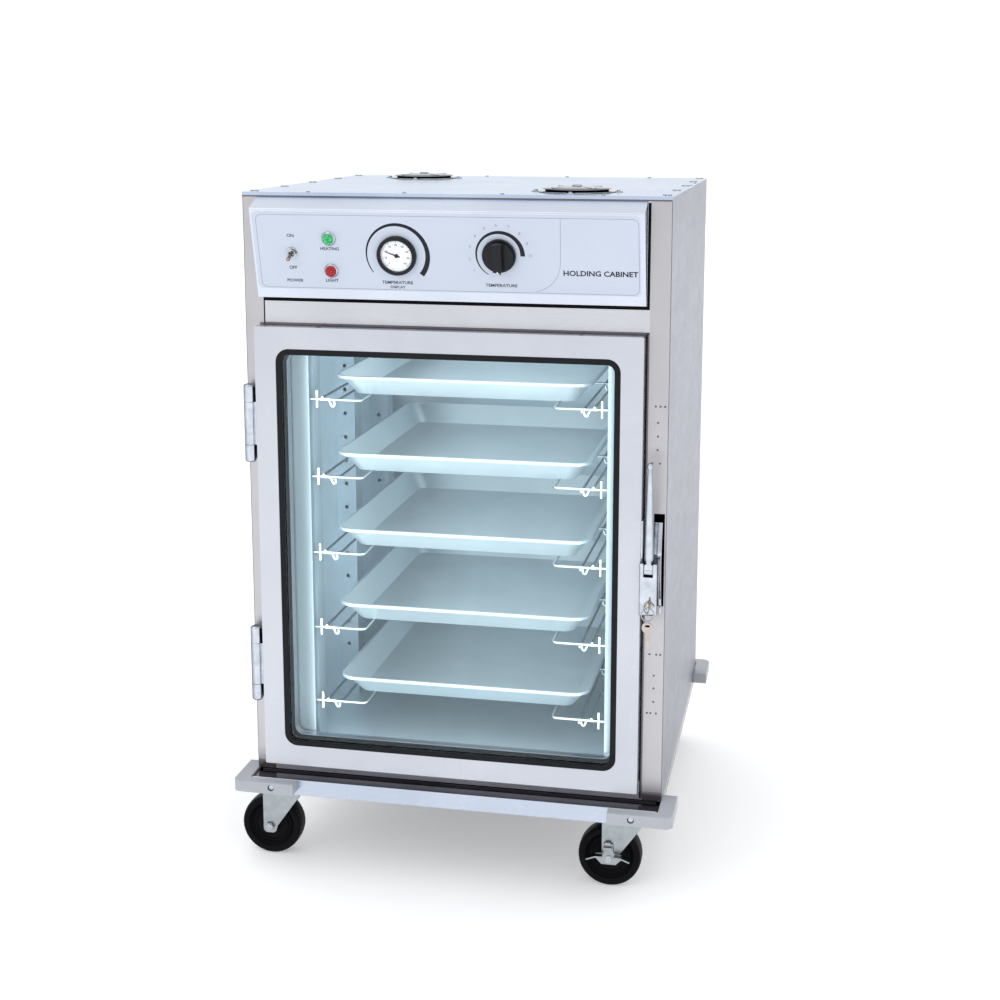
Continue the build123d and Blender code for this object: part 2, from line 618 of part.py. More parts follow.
GLASS_T = 4.0
LAP = 4.0
GLASS_YS = (DOOR_FACE + 3.5, DOOR_BACK - 4.5)
clear_w, clear_h = WINDOW_W - 2 * GASKET_W, WINDOW_H - 2 * GASKET_W
clear = (clear_w, clear_h, WINDOW_R - GASKET_W)
pane = (clear_w + 2 * LAP, clear_h + 2 * LAP, WINDOW_R - GASKET_W + LAP)
with BuildPart() as door_glass:
    for y in GLASS_YS:
        door_ring(y, pane, None, GLASS_T)
save(door_glass.part, "door_glass")

with BuildPart() as glass_gasket:
    door_ring(DOOR_FACE - 1.5, window, clear, DOOR_T + 0.5)
    fillet(glass_gasket.edges().group_by(Axis.Y)[0], 1.2)
    for y in GLASS_YS:
        door_ring(y, pane, None, GLASS_T, Mode.SUBTRACT)
save(glass_gasket.part, "glass_gasket")

SEAL_T = 3.7
with BuildPart() as door_seal:
    with BuildSketch(Plane.XZ.offset(-DOOR_BACK - INNER_FRAME_T)):
        with Locations(INNER_FRAME_MID):
            RectangleRounded(INNER_FRAME_W - 4, INNER_FRAME_H - 4, 6.0)
            RectangleRounded(INNER_FRAME_W - 30, INNER_FRAME_H - 30, 4.0, mode=Mode.SUBTRACT)
    extrude(amount=-SEAL_T)
save(door_seal.part, "door_seal")

# ---------------------------------------------------------------- hinges
KNUCKLE_GAP = 0.3
LEAF_T = 3.0
hinge_frames = []
hinge_leaves = []
for z in HINGE_ZS:
    with BuildPart() as frame_leaf:
        with Locations((HINGE_X, HINGE_Y, z)):
            Cylinder(HINGE_R, HINGE_H)
        fillet(frame_leaf.edges().filter_by(GeomType.CIRCLE), 4.0)
        with Locations((HINGE_X, FRONT, z)):
            Box(2 * HINGE_R, -(HINGE_Y - FRONT), HINGE_H - 10.0, align=(Align.CENTER, Align.MAX, Align.CENTER))
        with Locations((HINGE_X, FRONT - 9.0, z)):
            room = KNUCKLE + 2 * KNUCKLE_GAP
            Box(4 * HINGE_R, 60, room, align=(Align.CENTER, Align.MAX, Align.CENTER), mode=Mode.SUBTRACT)
        with Locations((HINGE_X, HINGE_Y, z)):
            Cylinder(PIN_R, KNUCKLE + 4.0)
    hinge_frames.append(frame_leaf.part)
    with BuildPart() as door_leaf:
        with Locations((HINGE_X, HINGE_Y, z)):
            Cylinder(HINGE_R, KNUCKLE)
        leaf_w = DOOR_X0 - HINGE_X
        with Locations((DOOR_X0, HINGE_Y, z)):
            Box(leaf_w, 6.0, KNUCKLE, align=(Align.MAX, Align.CENTER, Align.CENTER))
        with Locations((DOOR_X0, DOOR_FACE + 1.0, z)):
            Box(LEAF_T, DOOR_T - 3.0, KNUCKLE, align=(Align.MAX, Align.MIN, Align.CENTER))
        with Locations((HINGE_X, HINGE_Y, z)):
            Cylinder(PIN_R + AXLE_CLEAR, KNUCKLE, mode=Mode.SUBTRACT)
    hinge_leaves.append(door_leaf.part)
save(Compound(children=hinge_frames), "hinge_frame_leaves")
save(Compound(children=hinge_leaves), "hinge_door_leaves")

# ---------------------------------------------------------------- latch, lock and strike
LATCH_BACK = FRONT - 15.0
LATCH_Z0, LATCH_Z1 = BASE + 305.0, BASE + 383.0
PIVOT_R = 2.5
HUB_R, HUB_W = 7.0, 13.4
CYLINDER_R = 6.5
with BuildPart() as latch_body:
    with Locations((DOOR_X1 + 1.0, LATCH_BACK, LATCH_Z0)):
        Box(26.0, LATCH_BACK - FRONT + 48.0, LATCH_Z1 - LATCH_Z0, align=(Align.MIN, Align.MAX, Align.MIN))
    fillet(latch_body.edges().group_by(Axis.Y)[0], 3.0)
    with Locations((DOOR_X1, DOOR_BACK - 1.0, LATCH_Z0 - 5.0)):
        Box(2.4, 20.0, 140.0, align=(Align.MIN, Align.MAX, Align.MIN))
    with Locations((LATCH_X, FRONT - 30.0, LATCH_PIVOT[2] - HUB_R - 1.0)):
        Box(HUB_W + 0.4, 40.0, 40.0, align=(Align.CENTER, Align.MAX, Align.MIN), mode=Mode.SUBTRACT)
    with Locations(LATCH_PIVOT):
        Cylinder(PIVOT_R, 24.0, rotation=(0, 90, 0))
    with BuildSketch(Plane.XZ.offset(-LATCH_FACE + 4)):
        with Locations(LOCK_AT):
            Circle(CYLINDER_R + AXLE_CLEAR)
    extrude(amount=-24.0, mode=Mode.SUBTRACT)
save(latch_body.part, "latch_body")

LEVER_TOP = BASE + 526.0
with BuildPart() as latch_lever:
    with Locations(LATCH_PIVOT):
        Cylinder(HUB_R, HUB_W, rotation=(0, 90, 0))
    with BuildSketch(Plane.XY.offset(LATCH_PIVOT[2] + 2.0)):
        with Locations(LATCH_PIVOT[:2]):
            RectangleRounded(HUB_W, 9.0, 3.0)
    with BuildSketch(Plane.XY.offset(LEVER_TOP)):
        with Locations((LATCH_X, LATCH_PIVOT[1] - 4.0)):
            RectangleRounded(7.0, 6.0, 2.6)
    loft()
    with Locations((LATCH_X, LATCH_PIVOT[1] - 4.0, LEVER_TOP + 1.0)):
        Sphere(4.2)
    with Locations(LATCH_PIVOT):
        Cylinder(PIVOT_R + AXLE_CLEAR, 30.0, rotation=(0, 90, 0), mode=Mode.SUBTRACT)
save(latch_lever.part, "latch_lever")

BOW_R = 9.0
KEY_T = 2.0
BOW_Y = LATCH_FACE - 10.6
RING_R, RING_WIRE = 9.5, 0.9
HOLE_Y = BOW_Y - 4.0
LOCK_X, LOCK_Z = LOCK_AT
with BuildPart() as lock_cylinder:
    with BuildSketch(Plane.XZ.offset(-LATCH_FACE + 1)):
        with Locations(LOCK_AT):
            Circle(CYLINDER_R)
    extrude(amount=-18.0)
    with BuildSketch(Plane.YZ.offset(LOCK_X - KEY_T / 2)):
        with Locations((BOW_Y, LOCK_Z)):
            Circle(BOW_R)
        with Locations((LATCH_FACE, LOCK_Z)):
            Rectangle(16, 8)
        with Locations((HOLE_Y, LOCK_Z)):
            Circle(3.0, mode=Mode.SUBTRACT)
    extrude(amount=KEY_T)
save(lock_cylinder.part, "lock_cylinder")

RING_TOP = LOCK_Z - 1.0
RING_Z = RING_TOP - RING_R
SPARE_Z = RING_Z - RING_R - 6.0
with BuildPart() as spare_key:
    with Locations(Location((LOCK_X, HOLE_Y, RING_Z), (90, 0, 45))):
        Torus(RING_R, RING_WIRE)
    with BuildSketch(Plane.XZ.offset(-HOLE_Y - KEY_T / 2)):
        with Locations((LOCK_X, SPARE_Z)):
            Circle(BOW_R + 1)
        with Locations((LOCK_X, SPARE_Z - 8.0)):
            Rectangle(8, 28, align=(Align.CENTER, Align.MAX))
        with Locations((LOCK_X, SPARE_Z + 5.0)):
            SlotOverall(8.0, 2.6, mode=Mode.SUBTRACT)
    extrude(amount=KEY_T)
save(spare_key.part, "spare_key")

STRIKE_LOW, STRIKE_HIGH = BASE + 295.0, BASE + 433.0
STRIP_T = 1.5
STRIP_X = 308.0
BOW_OUT = 12.0
with BuildPart() as strike_plate:
    with BuildSketch(Plane.YZ.offset(STRIP_X - 6.0)):
        low, high, mid = STRIKE_LOW + 10, STRIKE_HIGH, (STRIKE_LOW + STRIKE_HIGH) / 2
        with BuildLine():
            ThreePointArc((FRONT, low), (FRONT - BOW_OUT, mid), (FRONT, high))
            Line((FRONT, high), (FRONT + STRIP_T, high))
            ThreePointArc((FRONT + STRIP_T, high), (FRONT - BOW_OUT + STRIP_T, mid), (FRONT, low + 10))
            Line((FRONT, low + 10), (FRONT, low))
        make_face()
    extrude(amount=12.0)
    with Locations((STRIP_X, FRONT, STRIKE_LOW)):
        Box(12, STRIP_T, 12, align=(Align.CENTER, Align.MAX, Align.MIN))
    with Locations((STRIP_X, FRONT, STRIKE_HIGH)):
        Box(12, SHEET + 12.0, STRIP_T, align=(Align.CENTER, Align.MIN, Align.MAX))
save(strike_plate.part, "strike_plate")

# ---------------------------------------------------------------- base
TRAY_T = 2.0
with BuildPart() as base_tray:
    tray_w, tray_d = WIDTH - 3.0, DEPTH + 2 * RAIL_OUT - 2 * STRIP_T
    with Locations((0, 0, TRAY_TOP)):
        Box(tray_w, tray_d, TRAY_TOP - TRAY_LOW, align=(Align.CENTER, Align.CENTER, Align.MAX))
    with Locations((0, 0, TRAY_TOP - TRAY_T)):
        Box(tray_w - 4, tray_d - 4, 40, align=(Align.CENTER, Align.CENTER, Align.MAX), mode=Mode.SUBTRACT)
    with Locations((0, 0, BASE)):
        Box(WIDTH - 12, DEPTH - 12, 4, align=(Align.CENTER, Align.CENTER, Align.MAX))
        Box(WIDTH - 80, DEPTH - 80, 4, align=(Align.CENTER, Align.CENTER, Align.MAX), mode=Mode.SUBTRACT)
    with Locations(*[(x * CASTER_X, y * CASTER_Y, TRAY_TOP - TRAY_T) for x in (-1, 1) for y in (-1, 1)]):
        Box(78, 62, TRAY_TOP - TRAY_T - TRAY_LOW, align=(Align.CENTER, Align.CENTER, Align.MAX))
save(base_tray.part, "base_tray")

rails = []
for side in (-1, 1):
    with BuildPart() as rail:
        with Locations((0, side * (DEPTH / 2 + RAIL_OUT - STRIP_T / 2), TRAY_LOW)):
            Box(WIDTH - 8, STRIP_T, BASE - TRAY_LOW, align=(Align.CENTER, Align.CENTER, Align.MIN))
    rails.append(rail.part)
save(Compound(children=rails), "bumper_rails")

BUMPER_H = 18.0
BUMPER_LEG = 98.0
SEAT_R, SEAT_DEEP = 5.2, 5.0
bumpers = []
bumper_screws = []
for x_side in (-1, 1):
    for y_side in (-1, 1):
        corner = (x_side * (HALF + BUMPER_SIDE), y_side * (DEPTH / 2 + BUMPER_OUT))
        x_align = Align.MIN if x_side < 0 else Align.MAX
        y_align = Align.MIN if y_side < 0 else Align.MAX
        with BuildPart() as bumper:
            with BuildSketch(Plane.XY.offset(BASE - BUMPER_H)):
                with Locations(corner):
                    Rectangle(BUMPER_LEG, BUMPER_OUT - RAIL_OUT, align=(x_align, y_align))
                    Rectangle(BUMPER_SIDE + 1.5, BUMPER_OUT + 25.0, align=(x_align, y_align))
            extrude(amount=BUMPER_H)
            far = Axis.X if x_side > 0 else -Axis.X
            upright = bumper.edges().filter_by(Axis.Z)
            fillet(upright.sort_by(lambda edge: -x_side * edge.center().X - y_side * edge.center().Y)[0], 12.0)
            fillet(bumper.edges().group_by(Axis.Z)[-1], 1.6)
            seat = (x_side * 280.0, y_side * (DEPTH / 2 + BUMPER_OUT), BASE - 8.5)
            with Locations(seat):
                Cylinder(SEAT_R, 2 * SEAT_DEEP, rotation=(90, 0, 0), mode=Mode.SUBTRACT)
        bumpers.append(bumper.part)
        bumper_screws.append((seat[0], seat[1] - y_side * (SEAT_DEEP - 1.0), seat[2]))
save(Compound(children=bumpers), "corner_bumpers")

screw_spots = []
for x_side in (-1, 1):
    for y in (FRONT + 25, FRONT + 160, FRONT + 300, FRONT + 440, FRONT + 565):
        screw_spots += [(x_side * 306.0, y), (x_side * 313.0, y)]
for y in (FRONT + 8.0, BACK - 10.0):
    screw_spots += [(x, y) for x in (-220.0, -73.0, 73.0, 220.0)]
screws = []
for x, y in screw_spots:
    with BuildPart() as screw:
        with Locations((x, y, TOP)):
            Cylinder(3.0, 1.4, align=(Align.CENTER, Align.CENTER, Align.MIN))
        fillet(screw.edges().group_by(Axis.Z)[-1], 0.8)
    screws.append(screw.part)
for x, y, z in bumper_screws:
    with BuildPart() as screw:
        with Locations((x, y, z)):
            Cylinder(3.8, 2.0, rotation=(90, 0, 0))
    screws.append(screw.part)
save(Compound(children=screws), "cabinet_screws")

# ---------------------------------------------------------------- casters
SWIVEL_R = 6.0
FORK_TOP = TRAY_LOW - 10.5
LEG_T = 3.0
LEG_IN = WHEEL_T / 2 + 2.0
TRAIL_LEFT, TRAIL_BACK = 180.0, 90.0
CASTERS = {
    "front_left": (-CASTER_X, -CASTER_Y, TRAIL_LEFT),
    "front_right": (CASTER_X, -CASTER_Y, TRAIL_LEFT),
    "rear_left": (-CASTER_X, CASTER_Y, TRAIL_BACK),
    "rear_right": (CASTER_X, CASTER_Y, TRAIL_BACK),
}
plates = []
for x, y, _ in CASTERS.values():
    with BuildPart() as plate_part:
        with Locations((x, y, TRAY_LOW)):
            Box(74, 58, 4, align=(Align.CENTER, Align.CENTER, Align.MAX))
        fillet(plate_part.edges().filter_by(Axis.Z), 6)
        with Locations((x, y, TRAY_LOW - 3.5)):
            Cylinder(25, 6.0, align=(Align.CENTER, Align.CENTER, Align.MAX))
            Cylinder(SWIVEL_R, 18.0, align=(Align.CENTER, Align.CENTER, Align.MAX))
        with Locations((x, y, FORK_TOP - 6.8)):
            Cylinder(9.5, 4.5, align=(Align.CENTER, Align.CENTER, Align.MAX))
        with Locations((x, y, TRAY_LOW)):
            with GridLocations(56, 40, 2, 2):
                Cylinder(4.0, 9.0, align=(Align.CENTER, Align.CENTER, Align.MAX))
    plates.append(plate_part.part)
save(Compound(children=plates), "caster_plates")

for name, (x, y, heading) in CASTERS.items():
    place = Plane((x, y, 0), x_dir=(cos(radians(heading)), sin(radians(heading)), 0), z_dir=(0, 0, 1))
    with BuildPart() as fork:
        with Locations((0, 0, FORK_TOP)):
            Cylinder(24, 6.5, align=(Align.CENTER, Align.CENTER, Align.MAX))
        with BuildSketch(Plane.XZ.offset(LEG_IN)) as leg:
            with BuildLine():
                Polyline((-18, FORK_TOP), (TRAIL + 11, FORK_TOP), (TRAIL + 11, WHEEL_R - 11))
                Polyline((TRAIL + 11, WHEEL_R - 11), (TRAIL - 9, WHEEL_R - 11), (TRAIL - 13, WHEEL_R + 2))
                Polyline((TRAIL - 13, WHEEL_R + 2), (-18, FORK_TOP - 12), (-18, FORK_TOP))
            make_face()
            fillet(leg.vertices().group_by(Axis.Y)[0], 7)
        extrude(leg.sketch, amount=LEG_T)
        extrude(leg.sketch.moved(Location((0, 2 * LEG_IN + LEG_T, 0))), amount=LEG_T)
        with Locations((0, 0, FORK_TOP)):
            Box(42, 2 * LEG_IN + 2 * LEG_T, 6.5, align=(Align.CENTER, Align.CENTER, Align.MAX))
            Cylinder(SWIVEL_R + AXLE_CLEAR, 20, mode=Mode.SUBTRACT)
        with Locations((TRAIL, 0, WHEEL_R)):
            Cylinder(AXLE_R, 2 * LEG_IN + 16.0, rotation=(90, 0, 0))
    save(fork.part.moved(place.location), f"{name}_caster_fork")
    with BuildPart() as wheel:
        with Locations((TRAIL, 0, WHEEL_R)):
            Cylinder(WHEEL_R, WHEEL_T, rotation=(90, 0, 0))
        fillet(wheel.edges().filter_by(GeomType.CIRCLE), 5.0)
        with BuildSketch(Plane.XZ.offset(WHEEL_T / 2)) as dish:
            with Locations((TRAIL, WHEEL_R)):
                Circle(WHEEL_R - 13)
                Circle(12, mode=Mode.SUBTRACT)
        extrude(dish.sketch, amount=-6, mode=Mode.SUBTRACT)
        extrude(dish.sketch.moved(Location((0, WHEEL_T - 6.0, 0))), amount=-8, mode=Mode.SUBTRACT)
        with Locations((TRAIL, 0, WHEEL_R)):
            Cylinder(AXLE_R + AXLE_CLEAR, 2 * WHEEL_T, rotation=(90, 0, 0), mode=Mode.SUBTRACT)
    save(wheel.part.moved(place.location), f"{name}_caster_wheel")

PEDAL_REACH = 34.0
WING_OUT = 13.0
with BuildPart() as brake_pedal:
    brake_x = CASTER_X - TRAIL
    brake_y = -CASTER_Y - LEG_IN - LEG_T - 0.5
    pedal_face = Plane(origin=(brake_x, brake_y, WHEEL_R), x_dir=(1, 0, 0), z_dir=(0, -1, 0))
    with BuildSketch(pedal_face):
        with BuildLine():
            Polyline((-8, 10), (-8, 25), (6, 25), (8, 10), (20, 8), (20, 0), (11, -9))
            Polyline((11, -9), (-11, -9), (-20, 0), (-20, 8), (-8, 10))
        make_face()
        Circle(AXLE_R + AXLE_CLEAR, mode=Mode.SUBTRACT)
    extrude(amount=3.0)
    for side in (-1, 1):
        with BuildSketch(pedal_face):
            with BuildLine():
                Polyline((side * 9, 8), (side * 20, 7.5), (side * PEDAL_REACH, 2), (side * (PEDAL_REACH - 1), 0))
                Polyline((side * (PEDAL_REACH - 1), 0), (side * 20, 5), (side * 9, 5.5), (side * 9, 8))
            make_face()
        extrude(amount=WING_OUT)
    with Locations((brake_x - 1, brake_y, WHEEL_R + 15.0)):
        Box(13, 7.0, 5.0, align=(Align.CENTER, Align.MAX, Align.MIN))
    with Locations((brake_x - 1, brake_y, WHEEL_R + 22.5)):
        Box(9, 5.0, 5.0, align=(Align.CENTER, Align.MAX, Align.MIN))
save(brake_pedal.part, "brake_pedal")
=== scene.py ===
"""Looks for the heated holding cabinet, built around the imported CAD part. Metres, +Z up, door towards -Y."""

import bmesh
import bpy
import json
import math
from mathutils import Matrix, Vector


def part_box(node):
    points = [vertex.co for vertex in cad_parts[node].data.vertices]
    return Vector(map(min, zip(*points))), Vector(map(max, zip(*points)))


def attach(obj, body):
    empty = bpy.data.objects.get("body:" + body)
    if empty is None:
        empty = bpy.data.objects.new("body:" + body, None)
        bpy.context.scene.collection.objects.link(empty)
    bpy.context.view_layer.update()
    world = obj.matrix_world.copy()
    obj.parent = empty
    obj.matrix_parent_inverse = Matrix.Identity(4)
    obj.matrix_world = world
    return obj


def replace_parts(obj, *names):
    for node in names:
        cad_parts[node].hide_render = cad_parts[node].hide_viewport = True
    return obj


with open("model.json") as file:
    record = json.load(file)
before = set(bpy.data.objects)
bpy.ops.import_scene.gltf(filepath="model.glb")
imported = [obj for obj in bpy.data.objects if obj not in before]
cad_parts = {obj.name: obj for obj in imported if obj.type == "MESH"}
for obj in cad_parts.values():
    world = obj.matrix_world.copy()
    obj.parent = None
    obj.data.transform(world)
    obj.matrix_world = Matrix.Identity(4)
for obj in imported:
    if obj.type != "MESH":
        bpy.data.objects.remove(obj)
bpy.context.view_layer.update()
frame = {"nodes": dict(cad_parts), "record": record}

nodes = frame["nodes"]
joints = {j["name"]: j for j in frame["record"]["behaviour"]["joints"]}
body_of = {n: b for b, ns in frame["record"]["behaviour"]["bodies"].items() for n in ns}
MM = 0.001

# Shares used by the sheet metal materials.
GRAIN_SHARE = 0.35                       # how strongly the grain colours the sheet
GRAIN_DIM = 0.955                        # the dark lines of the grain against the light ones
FINE_BUMP = 0.0002                       # depth of grain and moulded texture
# Painted shade on the side sheets: their sideways faces darken towards the foot, between these two heights.
SIDE_SHADE_HEIGHTS = (0.15, 1.06)              # foot and top of the side sheets
FACING_TINT = (1.0, 0.985, 0.97)         # what the front faces of the side sheets are multiplied by

# Places on the control face in mm, right and up from its origin.
SWITCH = (-231, 2)
LAMP_X, LAMP_Y = -172.5, 24.6
DIAL = (-71, 1)
KNOB = (81, 4)
RING_TURN = math.radians(20)             # how far the key ring is turned from the door's plane

# The camera: its focal length for an image 1000 wide, its place, and its angles in degrees.
FOCAL, IMAGE, SENSOR = 1599.9, 1000.0, 36.0
EYE = (0.5427, -2.5590, 1.1837)
PITCH, YAW, SHIFT = 10.431, 11.761, -0.10


# ---------------------------------------------------------------- materials
def material(name):
    m = bpy.data.materials.new(name)
    m.use_nodes = True
    tree = m.node_tree
    return m, tree, tree.nodes["Principled BSDF"]


def add(tree, kind, **values):
    """A new node with its properties or sockets set by name."""
    node = tree.nodes.new(kind)
    for key, value in values.items():
        if hasattr(node, key):
            setattr(node, key, value)
        else:
            node.inputs[key.replace("_", " ")].default_value = value
    return node


def coords(tree, scale):
    """Object coordinates, stretched by a scale for each axis."""
    source = add(tree, "ShaderNodeTexCoord")
    mapping = add(tree, "ShaderNodeMapping")
    mapping.inputs["Scale"].default_value = scale
    tree.links.new(source.outputs["Object"], mapping.inputs["Vector"])
    return mapping.outputs["Vector"]


def noise(tree, scale, detail=3.0, rough=0.5, distortion=0.0):
    node = add(tree, "ShaderNodeTexNoise", Scale=1.0, Detail=detail, Roughness=rough, Distortion=distortion)
    tree.links.new(coords(tree, scale), node.inputs["Vector"])
    return node.outputs["Fac"]


def spread(tree, fac, low, high, at=(0.3, 0.7)):
    """Map the range `at` of a factor to low..high."""
    node = add(tree, "ShaderNodeMapRange")
    for key, value in zip(("From Min", "From Max", "To Min", "To Max"), (*at, low, high)):
        node.inputs[key].default_value = value
    tree.links.new(fac, node.inputs["Value"])
    return node.outputs["Result"]


def blend(tree, fac, a, b):
    """Mix two colours, each a tuple or a socket."""
    node = add(tree, "ShaderNodeMix", data_type="RGBA")
    tree.links.new(fac, node.inputs["Factor"])
    for socket, value in ((node.inputs[6], a), (node.inputs[7], b)):
        if isinstance(value, tuple):
            socket.default_value = (*value, 1.0)
        else:
            tree.links.new(value, socket)
    return node.outputs[2]


def multiply(tree, a, b):
    node = add(tree, "ShaderNodeMath", operation="MULTIPLY")
    tree.links.new(a, node.inputs[0])
    tree.links.new(b, node.inputs[1])
    return node.outputs[0]


def bump(tree, shader, height, strength, distance):
    node = add(tree, "ShaderNodeBump", Strength=strength, Distance=distance)
    tree.links.new(height, node.inputs["Height"])
    tree.links.new(node.outputs["Normal"], shader.inputs["Normal"])


def multiplied(tree, fac, a, b):
    """Two colour sockets multiplied, by a share."""
    node = add(tree, "ShaderNodeMix", data_type="RGBA", blend_type="MULTIPLY")
    node.inputs["Factor"].default_value = fac
    tree.links.new(a, node.inputs[6])
    tree.links.new(b, node.inputs[7])
    return node.outputs[2]


def steel(name, light, dark, rough, grain, deep=0.12, metal=1.0, low=None, high=None):
    """Sheet stainless: grain one way, slow clouding, wiping marks; with low and high given, painted shade on
    faces turned sideways, from low at the foot to high at the top.
    """
    m, tree, shader = material(name)
    fine = noise(tree, grain, 5.0, 0.65)
    cloud = noise(tree, (5.0, 5.0, 3.5), 3.0, 0.55, 0.6)
    wipe = noise(tree, (14.0, 14.0, 40.0), 2.0, 0.5, 1.4)
    tone = blend(tree, spread(tree, cloud, 0.0, 1.0), dark, light)
    dim = tuple(c * GRAIN_DIM for c in light)
    streak = blend(tree, spread(tree, fine, 0.0, 1.0, (0.25, 0.75)), dim, light)
    color = multiplied(tree, GRAIN_SHARE, tone, streak)
    # Painted shade: faces turned sideways are multiplied by a darker colour, low at the foot and high at the
    # top; faces turned to the front get FACING_TINT.
    if low:
        source = add(tree, "ShaderNodeTexCoord")
        split = add(tree, "ShaderNodeSeparateXYZ")
        tree.links.new(source.outputs["Object"], split.inputs["Vector"])
        painted_side_shade = blend(tree, spread(tree, split.outputs["Z"], 0.0, 1.0, SIDE_SHADE_HEIGHTS), low, high)
        facing = add(tree, "ShaderNodeSeparateXYZ")
        tree.links.new(source.outputs["Normal"], facing.inputs["Vector"])
        turned = add(tree, "ShaderNodeMath", operation="ABSOLUTE")
        tree.links.new(facing.outputs["X"], turned.inputs[0])
        side_shade_share = spread(tree, turned.outputs[0], 0.0, 1.0, (0.35, 0.85))
        color = multiplied(tree, 1.0, color, blend(tree, side_shade_share, FACING_TINT, painted_side_shade))
    tree.links.new(color, shader.inputs["Base Color"])
    shader.inputs["Metallic"].default_value = metal
    level = add(tree, "ShaderNodeMath", operation="ADD")
    tree.links.new(spread(tree, fine, rough[0], rough[1]), level.inputs[0])
    tree.links.new(spread(tree, wipe, -0.02, 0.035), level.inputs[1])
    tree.links.new(level.outputs[0], shader.inputs["Roughness"])
    bump(tree, shader, fine, deep, FINE_BUMP)
    return m


def plastic(name, base, varied, rough, grain=900.0, deep=0.15, spec=0.5):
    """Moulded plastic or rubber: fine moulded grain, slow clouding, uneven gloss."""
    m, tree, shader = material(name)
    cloud = noise(tree, (9.0, 9.0, 9.0), 3.0, 0.6)
    tree.links.new(blend(tree, spread(tree, cloud, 0.0, 1.0), base, varied), shader.inputs["Base Color"])
    fine = noise(tree, (grain, grain, grain), 2.0, 0.5)
    tree.links.new(spread(tree, cloud, rough[0], rough[1]), shader.inputs["Roughness"])
    bump(tree, shader, fine, deep, FINE_BUMP)
    shader.inputs["Specular IOR Level"].default_value = spec
    return m


def bright(name, base, shade, rough, deep=0.02, rim_shade=0.3):
    """Plated metal: polished, with slight waves and dull spots, and a painted reflection: the colour darkens
    where the surface turns away from the view.
    """
    m, tree, shader = material(name)
    cloud = noise(tree, (60.0, 60.0, 60.0), 3.0, 0.55, 0.4)
    plain = blend(tree, spread(tree, cloud, 0.0, 1.0), shade, base)
    # Painted reflection: towards the outline, where the surface turns away from the view, the colour blends to
    # a dark rim colour.
    slant = add(tree, "ShaderNodeLayerWeight", Blend=0.5)
    rim = tuple(c * rim_shade for c in shade)
    turned = spread(tree, slant.outputs["Facing"], 0.0, 1.0, (0.12, 0.7))
    tree.links.new(blend(tree, turned, plain, rim), shader.inputs["Base Color"])
    shader.inputs["Metallic"].default_value = 1.0
    tree.links.new(spread(tree, cloud, rough[0], rough[1]), shader.inputs["Roughness"])
    bump(tree, shader, noise(tree, (260.0, 260.0, 260.0), 2.0), deep, 0.0004)
    return m


def clear(name, tint, shine):
    """Window glass: tinted see-through, mirroring at a slant from outside only, with faint wiping marks."""
    m, tree, shader = material(name)
    tree.nodes.remove(shader)
    seen = add(tree, "ShaderNodeBsdfTransparent")
    smear = noise(tree, (9.0, 9.0, 4.0), 4.0, 0.6, 1.0)
    faint = tuple(c * 0.985 for c in tint)
    tree.links.new(blend(tree, spread(tree, smear, 0.0, 1.0), faint, tint), seen.inputs["Color"])
    gloss = add(tree, "ShaderNodeBsdfGlossy")
    gloss.inputs["Color"].default_value = (*shine, 1.0)
    tree.links.new(spread(tree, smear, 0.0, 0.05), gloss.inputs["Roughness"])
    fresnel = add(tree, "ShaderNodeFresnel", IOR=1.5)
    surface = add(tree, "ShaderNodeNewGeometry")
    entering = add(tree, "ShaderNodeMath", operation="SUBTRACT")
    entering.inputs[0].default_value = 1.0
    tree.links.new(surface.outputs["Backfacing"], entering.inputs[1])
    mix = add(tree, "ShaderNodeMixShader")
    tree.links.new(multiply(tree, fresnel.outputs["Fac"], entering.outputs[0]), mix.inputs["Fac"])
    tree.links.new(seen.outputs["BSDF"], mix.inputs[1])
    tree.links.new(gloss.outputs["BSDF"], mix.inputs[2])
    tree.links.new(mix.outputs["Shader"], tree.nodes["Material Output"].inputs["Surface"])
    return m


def lens(name, deep_color, lit_color, glow):
    """Pilot lamp lens: faceted coloured plastic, with painted light: each facet brighter towards its middle,
    in colour and in its faint glow.
    """
    m, tree, shader = material(name)
    cell = add(tree, "ShaderNodeTexVoronoi", Scale=1.0)
    tree.links.new(coords(tree, (420.0, 420.0, 420.0)), cell.inputs["Vector"])
    for socket in ("Base Color", "Emission Color"):
        facet = spread(tree, cell.outputs["Distance"], 0.0, 1.0, (0.1, 0.8))
        tree.links.new(blend(tree, facet, lit_color, deep_color), shader.inputs[socket])
    shader.inputs["Emission Strength"].default_value = glow
    tree.links.new(spread(tree, cell.outputs["Distance"], 0.08, 0.2), shader.inputs["Roughness"])
    shader.inputs["Specular IOR Level"].default_value = 0.35
    bump(tree, shader, cell.outputs["Distance"], 0.4, 0.0006)
    return m


# Scales of the sheet's grain, which runs along one axis.
ALONG_X, ALONG_Y, ALONG_Z = (6.0, 1500.0, 1500.0), (1500.0, 6.0, 1500.0), (1500.0, 1500.0, 6.0)
